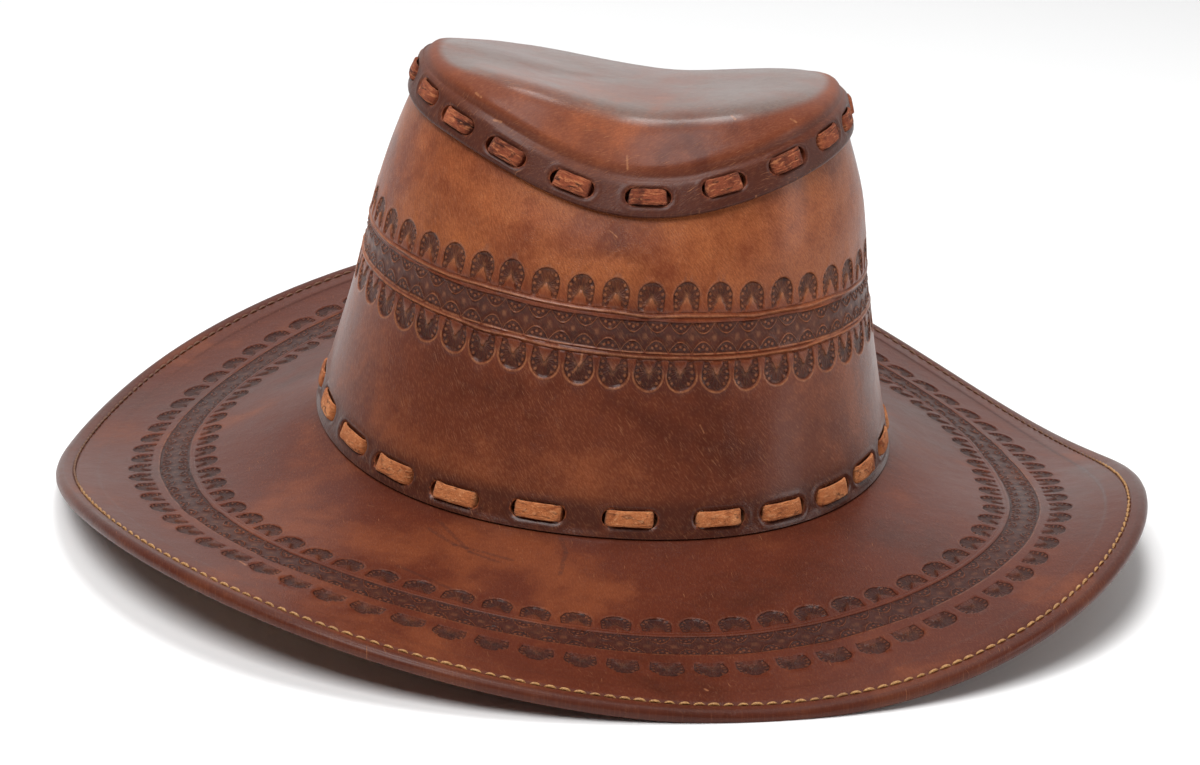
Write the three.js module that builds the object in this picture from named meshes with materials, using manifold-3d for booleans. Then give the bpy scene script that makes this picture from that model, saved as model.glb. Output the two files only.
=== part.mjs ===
import * as THREE from 'three';
import { mergeVertices } from 'three/addons/utils/BufferGeometryUtils.js';
import Module from 'manifold-3d';

const wasm = await Module();
wasm.setup();

// A tooled leather hat. Millimetres, +Z up: the front faces -Y, the wearer's left is +X, it rests on z = 0.

// Leather
const leather = 2.0;
const clearance = 0.3;
const fullTurn = Math.PI * 2;
const around = 48;
const nearZero = 1e-9;
const weldWithin = 1e-4;

// Sixteen directions, in even steps from the front over the left side to the back and round the right side.
// edge is the top of the brim at its outer edge, ring the middle of its stamped ring, foot where the crown
// wall stands on the brim, and rim the cap's lower edge.
const directions = [
  { edgeReach: 184, edgeRise: 3.8, ringReach: 145, ringRise: 8.6, footRise: 31.6, rimRise: 141.1 },
  { edgeReach: 185, edgeRise: 14.3, ringReach: 146, ringRise: 12.1, footRise: 28.2, rimRise: 139.3 },
  { edgeReach: 192, edgeRise: 23.6, ringReach: 152, ringRise: 16.5, footRise: 23.4, rimRise: 134.6 },
  { edgeReach: 196, edgeRise: 20.7, ringReach: 155, ringRise: 16.6, footRise: 20.3, rimRise: 125.5 },
  { edgeReach: 192, edgeRise: 9.8, ringReach: 152, ringRise: 10.8, footRise: 19.3, rimRise: 117.5 },
  { edgeReach: 190, edgeRise: 3.1, ringReach: 150, ringRise: 7.2, footRise: 19.1, rimRise: 118.7 },
  { edgeReach: 194, edgeRise: 11.4, ringReach: 155, ringRise: 13.7, footRise: 20.1, rimRise: 126.7 },
  { edgeReach: 192, edgeRise: 26.3, ringReach: 153, ringRise: 19.7, footRise: 22.6, rimRise: 133.4 },
  { edgeReach: 184, edgeRise: 25.3, ringReach: 145, ringRise: 15.1, footRise: 25.1, rimRise: 136.1 },
  { edgeReach: 185, edgeRise: 9.3, ringReach: 147, ringRise: 8.9, footRise: 26.3, rimRise: 135.2 },
  { edgeReach: 192, edgeRise: 4.1, ringReach: 153, ringRise: 11.2, footRise: 26.9, rimRise: 130.1 },
  { edgeReach: 195, edgeRise: 21.6, ringReach: 153, ringRise: 24.1, footRise: 27.8, rimRise: 124.2 },
  { edgeReach: 192, edgeRise: 39.5, ringReach: 152, ringRise: 37.1, footRise: 28.5, rimRise: 124.0 },
  { edgeReach: 190, edgeRise: 37.4, ringReach: 151, ringRise: 35.2, footRise: 28.8, rimRise: 127.4 },
  { edgeReach: 192, edgeRise: 22.2, ringReach: 151, ringRise: 22.4, footRise: 29.9, rimRise: 132.9 },
  { edgeReach: 190, edgeRise: 7.1, ringReach: 148, ringRise: 11.7, footRise: 31.6, rimRise: 137.4 },
];

// Lines around the outside of the crown wall. The heights of the first and the last come from directions.
const footLine = { centreX: 0.4, centreY: 0.8, halfWidth: 93, halfLength: 98, fullness: 0.01 };
const bandFootLine = {
  centreX: 2.5, centreY: 2.1, halfWidth: 75.5, halfLength: 86, fullness: 0.01,
  height: 79.8, frontRise: 4.1, rightRise: 2.1, saddle: 2.1,
};
const bandHeadLine = {
  centreX: 3.0, centreY: 2.1, halfWidth: 73, halfLength: 84, fullness: 0.01,
  height: 92.5, frontRise: 3.7, rightRise: 1.9, saddle: 1.4,
};
const rimLine = { centreX: 4.0, centreY: 3.5, halfWidth: 60.8, halfLength: 72.1, fullness: 0.04 };

// Between the band's head and the rim the wall swells a little, at a place that is higher at the front.
const swell = { out: 1.4, backOut: 0.6, place: 0.64, frontPlace: 0.13 };

// Brim: a flat plate with a collar turned up inside the crown and a hem turned under at the edge
const ringPlace = 0.56;
const collarTall = 15;
const wallTall = 105;
const collarShare = collarTall / wallTall;
const lowestAlong = 0.01;
const wallSteps = [0, collarShare, 0.45, 0.7, 0.86, 1, 2];
const brimSteps = [0, 0.18, 0.38, 0.58, 0.79];
const hemWide = 14;
const hemSlit = 0.4;
const rollRadius = leather + hemSlit / 2;
const rollTurns = [0, 45, 90, 135, 180];

// Cap: a band that covers the top of the wall, and a moulded top, high at the front and the back. Its
// shoulder is fuller over the wearer's left side, most of all at fullSide.at degrees from the front.
const bandTall = 12;
const wallTuck = 11.3;
const tuckMiddle = 1.5;
const top = {
  shoulderTall: 20.3, frontDrop: 0.8, centre: 147.5, fullness: 1.38,
  roundness: 3.8, frontRoundness: -1.6, backRoundness: 1.0,
};
const fullSide = { at: 95, shoulderTall: 9.5, roundness: 16 };
const roofSteps = [0.22, 0.45, 0.68, 0.83, 0.91, 0.96, 0.99];

// Lacing: a suede lace runs over the leather between the two holes of each stitch, and behind it to the next
const lace = { wide: 5.5, pinched: 4.0, thick: 1.0, overHalf: 2.8, bendOut: 4.2, bendIn: 7.4 };
const hole = { radius: 3.3, sides: 6, half: 5.8, deep: 12 };
const samples = 720;
const usualRise = 6.5;

// Each stitch is [degrees round from the front, height above the wall's foot or the cap's edge].
// The spacing is a little uneven, as it was punched by hand.
const footStitches = [
  [7.5, 6.5], [23, 6.3], [38, 5.9], [52, 5.4], [67, 5.2], [84, 6.2], [101.5, 6.5], [119, 6.1],
  [133, 5.4], [147, 5.3], [160, 6.1], [174.5, 6.7], [189, 6.5], [204, 6.2], [218.5, 5.9], [233, 5.6],
  [248, 6.0], [263.5, 6.3], [279.5, 6.5], [295, 6.1], [310, 5.8], [324.5, 6.2], [339, 6.4], [353, 6.6],
];
const rimStitches = [
  [12, 6.5], [31.5, 7.2], [47, 5.6], [62.5, 5.2], [80.5, 5.7], [100.5, 6.5], [120, 7.2], [138, 7.3],
  [155.5, 7.2], [173, 6.2], [191.5, 6.4], [210.5, 6.8], [231, 7.1], [251.5, 6.6], [272.5, 6.3],
  [293.5, 6.6], [314, 6.9], [334, 6.7], [352.5, 6.4],
];

const finishes = {
  cap: { color: 0x6e3219, roughness: 0.38 },
  wall: { color: 0x7d3c1c, roughness: 0.4 },
  brim: { color: 0x74371b, roughness: 0.42 },
  footLace: { color: 0xa9622f, roughness: 0.9 },
  rimLace: { color: 0x8a3f22, roughness: 0.9 },
};

// A smooth closed wave through evenly spaced values.
function wave(values, turn) {
  const count = values.length;
  const step = fullTurn / count;
  return values.reduce((sum, value, index) => {
    const half = (turn - index * step) / 2;
    const onStep = Math.abs(Math.sin(half)) < nearZero;
    const share = onStep ? 1 : Math.sin(count * half) / (count * Math.tan(half));
    return sum + value * share;
  }, 0);
}

function directed(column, turn) {
  return wave(directions.map((row) => row[column]), turn);
}

function linePoint(line, turn, height) {
  const full = 1 + line.fullness * Math.sin(2 * turn) ** 2;
  return new THREE.Vector3(
    line.centreX + line.halfWidth * full * Math.sin(turn),
    line.centreY - line.halfLength * full * Math.cos(turn),
    height,
  );
}

function lineHeight(line, turn) {
  return line.height + line.frontRise * Math.cos(turn) - line.rightRise * Math.sin(turn)
    + line.saddle * Math.cos(2 * turn);
}

function reachPoint(reach, turn, height) {
  return new THREE.Vector3(reach * Math.sin(turn), -reach * Math.cos(turn), height);
}

// Outside of the crown wall: along is 0 at the foot, 1 at the cap's lower edge and 2 at the hidden top.
function wallPoint(turn, along) {
  const foot = linePoint(footLine, turn, directed('footRise', turn) + clearance);
  const bandFoot = linePoint(bandFootLine, turn, lineHeight(bandFootLine, turn));
  const bandHead = linePoint(bandHeadLine, turn, lineHeight(bandHeadLine, turn));
  const rim = linePoint(rimLine, turn, directed('rimRise', turn));
  const swollen = bandHead.clone().lerp(rim, swell.place + swell.frontPlace * Math.cos(turn));
  const outward = new THREE.Vector3(Math.sin(turn), -Math.cos(turn), 0);
  swollen.addScaledVector(outward, swell.out - swell.backOut * Math.cos(turn));
  const lean = rim.clone().sub(swollen).normalize();
  if (along > 1) return rim.addScaledVector(lean, wallTuck * (along - 1));
  const spline = new THREE.CatmullRomCurve3([foot, bandFoot, bandHead, swollen, rim], false, 'chordal');
  return spline.getPointAt(along);
}

// Top of the brim: out is 0 at the foot of the crown and 1 at the outer edge.
function brimPoint(turn, out) {
  const foot = linePoint(footLine, turn, directed('footRise', turn));
  const ring = reachPoint(directed('ringReach', turn), turn, directed('ringRise', turn));
  const edge = reachPoint(directed('edgeReach', turn), turn, directed('edgeRise', turn));
  const footShare = ((out - ringPlace) * (out - 1)) / ringPlace;
  const ringShare = (out * (out - 1)) / (ringPlace * (ringPlace - 1));
  const edgeShare = (out * (out - ringPlace)) / (1 - ringPlace);
  return foot.multiplyScalar(footShare).addScaledVector(ring, ringShare).addScaledVector(edge, edgeShare);
}

function brimWidth(turn) {
  return brimPoint(turn, 1).distanceTo(brimPoint(turn, 0));
}

// Frame of a surface at one place: a point, the way along, the way around and the way out of the leather.
function frameAt(surface, turn, along, flip) {
  const small = 0.002;
  const point = surface(turn, along);
  const up = surface(turn, along + small).sub(surface(turn, along - small)).normalize();
  const side = surface(turn + small, along).sub(surface(turn - small, along)).normalize();
  const out = side.clone().cross(up).multiplyScalar(flip).normalize();
  return { point, up, side, out };
}

function lifted(surface, turn, along, height, flip = 1) {
  const frame = frameAt(surface, turn, along, flip);
  return frame.point.addScaledVector(frame.out, height);
}

function wallLayer(turn, along, depth) {
  return lifted(wallPoint, turn, Math.max(along, lowestAlong), -depth);
}

// A closed skin through rings of points, with the ends joined to each other or drawn in to two poles.
function loft(rings, poles) {
  const count = rings[0].length;
  const points = rings.flat();
  const faces = [];
  const last = poles ? rings.length - 1 : rings.length;
  for (let row = 0; row < last; row += 1) {
    const next = (row + 1) % rings.length;
    for (let column = 0; column < count; column += 1) {
      const after = (column + 1) % count;
      const [a, b] = [row * count + column, row * count + after];
      const [c, d] = [next * count + column, next * count + after];
      faces.push(a, c, b, b, c, d);
    }
  }
  if (poles) {
    const first = points.push(poles[0]) - 1;
    const final = points.push(poles[1]) - 1;
    const lastRing = (rings.length - 1) * count;
    for (let column = 0; column < count; column += 1) {
      const after = (column + 1) % count;
      faces.push(first, column, after, final, lastRing + after, lastRing + column);
    }
  }
  const geometry = new THREE.BufferGeometry().setFromPoints(points);
  geometry.setIndex(faces);
  return geometry;
}

// Rings of a skin whose section is the same list of places at every direction.
function sectionRings(section) {
  const turns = Array.from({ length: around }, (_, index) => (index / around) * fullTurn);
  const sections = turns.map(section);
  return sections[0].map((_, place) => sections.map((points) => points[place]));
}

function wallSection(turn) {
  const outside = wallSteps.map((along) => wallPoint(turn, along));
  const inside = wallSteps.map((along) => wallLayer(turn, along, leather));
  inside[0].z = brimPoint(turn, -leather / brimWidth(turn)).z + clearance;
  return inside.concat(outside.reverse());
}

function brimSection(turn) {
  const width = brimWidth(turn);
  const layer = (out, depth) => lifted(brimPoint, turn, out, depth, 1);
  const cornerOut = -(leather + clearance) / width;
  const rollOut = 1 - rollRadius / width;
  const slitOut = 1 - (2 * rollRadius) / width;
  const hemOut = 1 - hemWide / width;
  const collarOuter = wallLayer(turn, collarShare, leather + clearance);
  const collarInner = wallLayer(turn, collarShare, 2 * leather + clearance);
  const corner = wallLayer(turn, 0, leather + clearance).setZ(brimPoint(turn, cornerOut).z);
  const plateTop = brimSteps.map((out) => brimPoint(turn, out));
  const rollCentre = layer(rollOut, rollRadius);
  const rollFrame = frameAt(brimPoint, turn, rollOut, -1);
  const roll = rollTurns.map((degrees) => {
    const angle = THREE.MathUtils.degToRad(degrees);
    return rollCentre.clone()
      .addScaledVector(rollFrame.out, rollRadius * Math.cos(angle))
      .addScaledVector(rollFrame.up, rollRadius * Math.sin(angle));
  });
  const hem = [layer(hemOut, 2 * rollRadius), layer(hemOut, leather + hemSlit)];
  const slit = [layer(slitOut, leather + hemSlit), layer(slitOut, leather)];
  const plateUnder = brimSteps.slice(1, -1).reverse().concat(cornerOut).map((out) => layer(out, leather));
  const section = [collarOuter, corner, ...plateTop, ...roll, ...hem, ...slit, ...plateUnder, collarInner];
  section.forEach((point) => {
    point.z = Math.max(point.z, 0);
  });
  return section;
}

// Outside of the cap: a straight band on the wall, then a rounded shoulder that runs in to the middle.
function capBand(turn, tall) {
  const along = 1 + tall / wallTuck;
  const frame = frameAt(wallPoint, turn, tuckMiddle, 1);
  return wallPoint(turn, along).addScaledVector(frame.out, leather + clearance);
}

function capTop(turn, share) {
  const foot = capBand(turn, bandTall);
  const lean = capBand(turn, bandTall).sub(capBand(turn, 0)).normalize();
  const full = Math.max(Math.cos(turn - THREE.MathUtils.degToRad(fullSide.at)), 0) ** 2;
  const front = Math.max(Math.cos(turn), 0) ** 2;
  const back = Math.max(-Math.cos(turn), 0) ** 2;
  const shoulderTall = top.shoulderTall + full * fullSide.shoulderTall - front * top.frontDrop;
  const peak = directed('rimRise', turn) + shoulderTall;
  const endRoundness = front * top.frontRoundness + back * top.backRoundness;
  const roundness = top.roundness + full * fullSide.roundness + endRoundness;
  const roof = top.centre + (peak - top.centre) * share ** 2;
  const climb = (roof - foot.z) * (1 - share ** roundness) ** (1 / top.fullness);
  const middle = new THREE.Vector3(rimLine.centreX, rimLine.centreY, 0);
  const reach = new THREE.Vector3(foot.x, foot.y, 0).sub(middle).multiplyScalar(share);
  const shear = new THREE.Vector3(lean.x, lean.y, 0).multiplyScalar((climb * share) / lean.z);
  return middle.add(reach).add(shear).setZ(foot.z + climb);
}

function capSection(turn) {
  const roof = roofSteps.map((share) => capTop(turn, share));
  const band = [capBand(turn, bandTall), capBand(turn, 0)];
  const outside = [...roof, ...band];
  const inside = outside.map((point, index) => {
    const before = outside[Math.max(index - 1, 0)];
    const after = outside[Math.min(index + 1, outside.length - 1)];
    const along = after.clone().sub(before).normalize();
    const side = new THREE.Vector3(Math.cos(turn), Math.sin(turn), 0);
    const normal = side.cross(along).normalize();
    return point.clone().addScaledVector(normal, leather);
  });
  return outside.concat(inside.reverse());
}

// Lacing line: places around the wall, found by their distance along it, with the stitches on it.
function lacingLine(placeAt, stitches) {
  const turns = Array.from({ length: samples + 1 }, (_, index) => (index / samples) * fullTurn);
  const points = turns.map((turn) => placeAt(turn, usualRise).point);
  const lengths = [0];
  points.slice(1).forEach((point, index) => lengths.push(lengths[index] + point.distanceTo(points[index])));
  const total = lengths[samples];
  const turnAt = (length) => {
    const wanted = (length + total) % total;
    const after = lengths.findIndex((value) => value > wanted);
    const share = (wanted - lengths[after - 1]) / (lengths[after] - lengths[after - 1]);
    return ((after - 1 + share) / samples) * fullTurn;
  };
  return stitches.map(([turn, rise]) => {
    const centre = lengths[Math.round((turn / 360) * samples)];
    return (shift) => placeAt(turnAt(centre + shift), rise);
  });
}

function footPlace(turn, rise) {
  return frameAt(wallPoint, turn, rise / wallTall, 1);
}

function rimPlace(turn, rise) {
  const frame = frameAt(wallPoint, turn, 1 + rise / wallTuck, 1);
  frame.point.addScaledVector(frame.out, leather + clearance);
  return frame;
}

function laceGeometry(line) {
  const over = clearance + lace.thick / 2;
  const under = -(2 * leather + clearance) - over;
  const mitre = Math.atan2(over - under, lace.bendIn - lace.bendOut) / 2;
  const bends = [
    { at: -lace.bendIn, height: under, wide: lace.pinched, lean: 1 },
    { at: -lace.bendOut, height: over, wide: lace.pinched, lean: 1 },
    { at: -lace.overHalf, height: over, wide: lace.wide, lean: 0 },
    { at: lace.overHalf, height: over, wide: lace.wide, lean: 0 },
    { at: lace.bendOut, height: over, wide: lace.pinched, lean: -1 },
    { at: lace.bendIn, height: under, wide: lace.pinched, lean: -1 },
  ];
  const sections = line.flatMap((placeFrom) => bends.map((bend) => {
    const frame = placeFrom(bend.at);
    const middle = frame.point.clone().addScaledVector(frame.out, bend.height);
    const across = frame.out.clone().addScaledVector(frame.side, -bend.lean * Math.tan(mitre));
    const corner = (upward, outward) => middle.clone()
      .addScaledVector(frame.up, (upward * bend.wide) / 2)
      .addScaledVector(across, (outward * lace.thick) / 2);
    return [corner(1, 1), corner(1, -1), corner(-1, -1), corner(-1, 1)];
  }));
  return loft(sections);
}

function holeGeometries(line) {
  const outline = new THREE.Shape();
  for (let side = 0; side < hole.sides; side += 1) {
    const angle = ((side + 0.5) / hole.sides) * fullTurn;
    const [x, y] = [hole.radius * Math.cos(angle), hole.radius * Math.sin(angle)];
    if (side === 0) outline.moveTo(x, y);
    else outline.lineTo(x, y);
  }
  outline.closePath();
  const punch = new THREE.ExtrudeGeometry(outline, { depth: hole.deep, bevelEnabled: false });
  punch.translate(0, 0, -hole.deep / 2 - leather);
  return line.flatMap((placeFrom) => [-hole.half, hole.half].map((shift) => {
    const frame = placeFrom(shift);
    const placed = new THREE.Matrix4().makeBasis(frame.side, frame.up, frame.out).setPosition(frame.point);
    return punch.clone().applyMatrix4(placed);
  }));
}

function toSolid(geometry) {
  const bare = geometry.clone();
  bare.deleteAttribute('normal');
  bare.deleteAttribute('uv');
  const merged = mergeVertices(bare, weldWithin);
  return new wasm.Manifold(new wasm.Mesh({
    numProp: 3,
    vertProperties: new Float32Array(merged.attributes.position.array),
    triVerts: new Uint32Array(merged.index.array),
  }));
}

function toGeometry(solid) {
  const mesh = solid.getMesh();
  const geometry = new THREE.BufferGeometry();
  geometry.setAttribute('position', new THREE.BufferAttribute(mesh.vertProperties, 3));
  geometry.setIndex(new THREE.BufferAttribute(mesh.triVerts, 1));
  geometry.computeVertexNormals();
  return geometry;
}

function punched(geometry, holes) {
  return toGeometry(holes.reduce((solid, tool) => solid.subtract(toSolid(tool)), toSolid(geometry)));
}

function leatherMesh(name, geometry, finish) {
  const mesh = new THREE.Mesh(geometry, new THREE.MeshStandardMaterial({ ...finish, metalness: 0 }));
  mesh.name = name;
  return mesh;
}

const footLacing = lacingLine(footPlace, footStitches);
const rimLacing = lacingLine(rimPlace, rimStitches);
const footHoles = holeGeometries(footLacing);
const rimHoles = holeGeometries(rimLacing);

const capRings = sectionRings(capSection);
const capMiddle = capTop(0, 0);
const capPoles = [capMiddle, capMiddle.clone().setZ(capMiddle.z - leather)];

const brimGeometry = punched(loft(sectionRings(brimSection)), footHoles);
const wallGeometry = punched(loft(sectionRings(wallSection)), footHoles.concat(rimHoles));
const capGeometry = punched(loft(capRings, capPoles), rimHoles);

const hat = new THREE.Group();
hat.add(leatherMesh('brim', brimGeometry, finishes.brim));
hat.add(leatherMesh('crown_side', wallGeometry, finishes.wall));
hat.add(leatherMesh('crown_top', capGeometry, finishes.cap));
hat.add(leatherMesh('base_lace', laceGeometry(footLacing), finishes.footLace));
hat.add(leatherMesh('crown_lace', laceGeometry(rimLacing), finishes.rimLace));

// The origin is the middle of the hat's outline, on the surface that it rests on.
const outline = new THREE.Box3().setFromObject(hat);
hat.position.set(-(outline.min.x + outline.max.x) / 2, -(outline.min.y + outline.max.y) / 2, 0);

export default hat;
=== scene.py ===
import math

import bmesh
import bpy
import numpy as np
from mathutils import Matrix, Vector
from mathutils.bvhtree import BVHTree


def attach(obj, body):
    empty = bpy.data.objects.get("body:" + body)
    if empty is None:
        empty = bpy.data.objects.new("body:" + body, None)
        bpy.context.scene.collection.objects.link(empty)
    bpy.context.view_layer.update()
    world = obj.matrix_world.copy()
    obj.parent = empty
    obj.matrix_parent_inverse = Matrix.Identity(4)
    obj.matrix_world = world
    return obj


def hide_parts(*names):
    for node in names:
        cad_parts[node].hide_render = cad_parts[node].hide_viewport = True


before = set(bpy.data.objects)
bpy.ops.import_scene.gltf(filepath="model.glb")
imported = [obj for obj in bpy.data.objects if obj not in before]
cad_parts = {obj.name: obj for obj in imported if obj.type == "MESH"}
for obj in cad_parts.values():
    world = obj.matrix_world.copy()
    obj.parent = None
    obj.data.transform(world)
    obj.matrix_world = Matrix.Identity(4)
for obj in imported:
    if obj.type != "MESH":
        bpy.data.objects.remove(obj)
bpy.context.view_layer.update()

scene = bpy.context.scene
scene.view_settings.view_transform = "Standard"
fullTurn = 2 * math.pi
millimetre = 0.001
nearZero = 1e-9
nearMiddle = 0.001  # keeps an angle off the point where it has none

# Camera, floor and lights

photo = {"width": 1200, "height": 765, "focalPixels": 3126.1, "centreX": 610.49, "centreY": 340.49,
         "sensor": 36.0}
shot = {
    "place": (1.01026, 0.10045, 0.38063),
    "right": (-0.1179, 0.9911, 0.0627),
    "up": (-0.2968, -0.0954, 0.9502),
    "back": (0.9476, 0.0934, 0.3054),
}
studio = {"floorSize": 30.0, "floorColour": (0.985, 0.985, 0.985, 1), "floorRough": 0.9, "sky": (1, 1, 1, 1),
          "dimSide": 0.03, "brightSide": 0.95, "dimFrom": 0.3, "brightFrom": -0.8, "lampsAim": (0, 0, 0.06)}
lamps = [
    {"name": "keySoftbox", "place": (1.2, -0.5, 2.0), "size": (1.2, 1.2), "watts": 45.0},
    {"name": "topSoftbox", "place": (-0.1, -0.05, 1.9), "size": (0.5, 0.7), "watts": 13.0},
    {"name": "sideSoftbox", "place": (0.35, 1.7, 0.55), "size": (0.5, 0.9), "watts": 6.0},
]


def addObject(name, data):
    made = bpy.data.objects.new(name, data)
    scene.collection.objects.link(made)
    return made


def aimLamp(name, place, size, watts):
    data = bpy.data.lights.new(name, "AREA")
    data.shape = "RECTANGLE"
    data.size, data.size_y = size
    data.energy = watts
    lamp = addObject(name, data)
    lamp.location = place
    lamp.rotation_euler = (Vector(studio["lampsAim"]) - Vector(place)).to_track_quat("-Z", "Y").to_euler()


def makeCamera():
    data = bpy.data.cameras.new("photoCamera")
    data.sensor_width = photo["sensor"]
    data.lens = photo["focalPixels"] * data.sensor_width / photo["width"]
    data.shift_x = (photo["width"] / 2 - photo["centreX"]) / photo["width"]
    data.shift_y = (photo["centreY"] - photo["height"] / 2) / photo["width"]
    camera = addObject("photoCamera", data)
    turned = Matrix((shot["right"], shot["up"], shot["back"])).transposed().to_4x4()
    camera.matrix_world = Matrix.Translation(shot["place"]) @ turned
    scene.camera = camera


def makeStudio():
    half = studio["floorSize"] / 2
    mesh = bpy.data.meshes.new("floor")
    corners = [(-half, -half, 0), (half, -half, 0), (half, half, 0), (-half, half, 0)]
    mesh.from_pydata(corners, [], [(0, 1, 2, 3)])
    floor = addObject("floor", mesh)
    paper = bpy.data.materials.new("studioPaper")
    paper.use_nodes = True
    shader = paper.node_tree.nodes["Principled BSDF"]
    shader.inputs["Base Color"].default_value = studio["floorColour"]
    shader.inputs["Roughness"].default_value = studio["floorRough"]
    mesh.materials.append(paper)
    world = bpy.data.worlds.new("studioSky")
    scene.world = world
    world.use_nodes = True
    # bright paper behind the hat, and a dimmer room on the other side
    sky = world.node_tree.nodes["Background"]
    sky.inputs["Color"].default_value = studio["sky"]
    way = world.node_tree.nodes.new("ShaderNodeTexCoord")
    split = world.node_tree.nodes.new("ShaderNodeSeparateXYZ")
    fade = world.node_tree.nodes.new("ShaderNodeMapRange")
    fade.interpolation_type = "SMOOTHSTEP"
    fade.inputs["From Min"].default_value = studio["dimFrom"]
    fade.inputs["From Max"].default_value = studio["brightFrom"]
    fade.inputs["To Min"].default_value = studio["dimSide"]
    fade.inputs["To Max"].default_value = studio["brightSide"]
    world.node_tree.links.new(way.outputs["Generated"], split.inputs[0])
    world.node_tree.links.new(split.outputs["X"], fade.inputs["Value"])
    world.node_tree.links.new(fade.outputs["Result"], sky.inputs["Strength"])
    for lamp in lamps:
        aimLamp(**lamp)


makeCamera()
makeStudio()
print("studio ready")

# The hat's own lines, in millimetres
# A turn is an angle round from the front (-Y) over the wearer's left side (+X).

planShift = np.array([-0.1065, -0.6176, 0.0])
leather = 2.0
clearance = 0.3
directions = {
    "edgeReach": [184, 185, 192, 196, 192, 190, 194, 192,
                  184, 185, 192, 195, 192, 190, 192, 190],
    "edgeRise": [3.8, 14.3, 23.6, 20.7, 9.8, 3.1, 11.4, 26.3,
                 25.3, 9.3, 4.1, 21.6, 39.5, 37.4, 22.2, 7.1],
    "ringReach": [145, 146, 152, 155, 152, 150, 155, 153,
                  145, 147, 153, 153, 152, 151, 151, 148],
    "ringRise": [8.6, 12.1, 16.5, 16.6, 10.8, 7.2, 13.7, 19.7,
                 15.1, 8.9, 11.2, 24.1, 37.1, 35.2, 22.4, 11.7],
    "footRise": [31.6, 28.2, 23.4, 20.3, 19.3, 19.1, 20.1, 22.6,
                 25.1, 26.3, 26.9, 27.8, 28.5, 28.8, 29.9, 31.6],
    "rimRise": [141.1, 139.3, 134.6, 125.5, 117.5, 118.7, 126.7, 133.4,
                136.1, 135.2, 130.1, 124.2, 124.0, 127.4, 132.9, 137.4],
}
footLine = {"centre": (0.4, 0.8), "half": (93, 98), "fullness": 0.01}
bandFootLine = {"centre": (2.5, 2.1), "half": (75.5, 86), "fullness": 0.01, "rise": (79.8, 4.1, 2.1, 2.1)}
bandHeadLine = {"centre": (3.0, 2.1), "half": (73, 84), "fullness": 0.01, "rise": (92.5, 3.7, 1.9, 1.4)}
rimLine = {"centre": (4.0, 3.5), "half": (60.8, 72.1), "fullness": 0.04}
swell = {"out": 1.4, "backOut": 0.6, "place": 0.64, "frontPlace": 0.13}  # of the wall, between band and rim
ringPlace = 0.56
insideFoot = -0.05
wallTuck = 11.3
bandTall = 12.0
capTopShape = {"shoulderTall": 20.3, "frontDrop": 0.8, "centre": 147.5, "roundness": 3.8,
               "frontRoundness": -1.6, "backRoundness": 1.0, "fullness": 1.38}
fullSide = {"at": 95, "shoulderTall": 9.5, "roundness": 16.0}  # the shoulder is fuller on the wearer's left


def wave(name, turns):
    values = np.asarray(directions[name], float)
    half = (turns[..., None] - np.arange(len(values)) * fullTurn / len(values)) / 2
    near = np.abs(np.sin(half)) < nearZero
    safe = np.where(near, 1.0, half)
    share = np.where(near, 1.0, np.sin(len(values) * safe) / (len(values) * np.tan(safe)))
    return (share * values).sum(-1)


def onLine(line, turns, height):
    full = 1 + line["fullness"] * np.sin(2 * turns) ** 2
    x = line["centre"][0] + line["half"][0] * full * np.sin(turns)
    y = line["centre"][1] - line["half"][1] * full * np.cos(turns)
    return np.stack([x, y, height + 0 * turns], -1)


def lineRise(line, turns):
    level, front, right, saddle = line["rise"]
    return level + front * np.cos(turns) - right * np.sin(turns) + saddle * np.cos(2 * turns)


def unit(vectors):
    return vectors / np.linalg.norm(vectors, axis=-1, keepdims=True)


def smooth(value, low, high):
    share = np.clip((value - low) / (high - low), 0, 1)
    return share * share * (3 - 2 * share)


def bell(value, wide):
    return np.exp(-(value / wide) ** 2)


# Profiles: for each turn, a fine run of points and the distance along it

def wallKnots(turns):
    foot = onLine(footLine, turns, wave("footRise", turns) + clearance)
    bandFoot = onLine(bandFootLine, turns, lineRise(bandFootLine, turns))
    bandHead = onLine(bandHeadLine, turns, lineRise(bandHeadLine, turns))
    rim = onLine(rimLine, turns, wave("rimRise", turns))
    share = (swell["place"] + swell["frontPlace"] * np.cos(turns))[:, None]
    outward = np.stack([np.sin(turns), -np.cos(turns), 0 * turns], -1)
    swollen = bandHead + (rim - bandHead) * share
    swollen = swollen + outward * (swell["out"] - swell["backOut"] * np.cos(turns))[:, None]
    return [foot, bandFoot, bandHead, swollen, rim]


def wallProfile(turns, steps=40):
    knots = wallKnots(turns)
    ends = [2 * knots[0] - knots[1], *knots, 2 * knots[-1] - knots[-2]]
    share = np.linspace(0, 1, steps + 1)[None, :, None]
    runs = []
    for index in range(len(knots) - 1):
        a, b, c, d = ends[index:index + 4]
        ab, bc, cd = (np.linalg.norm(q - p, axis=-1)[:, None] for p, q in ((a, b), (b, c), (c, d)))
        leave = ((b - a) / ab - (c - a) / (ab + bc) + (c - b) / bc) * bc
        arrive = ((c - b) / bc - (d - b) / (bc + cd) + (d - c) / cd) * bc
        b, c, leave, arrive = b[:, None], c[:, None], leave[:, None], arrive[:, None]
        run = (b + leave * share + (3 * (c - b) - 2 * leave - arrive) * share ** 2
               + (2 * (b - c) + leave + arrive) * share ** 3)
        runs.append(run if index == 0 else run[:, 1:])
    points = np.concatenate(runs, 1)
    lean = unit(knots[-1] - knots[-2])
    points = np.concatenate([points, points[:, -1:] + wallTuck * lean[:, None]], 1)
    lengths = distances(points)
    marks = {"bandFoot": lengths[:, steps], "bandHead": lengths[:, 2 * steps], "rim": lengths[:, 4 * steps]}
    return points, lengths, marks, lean


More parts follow.
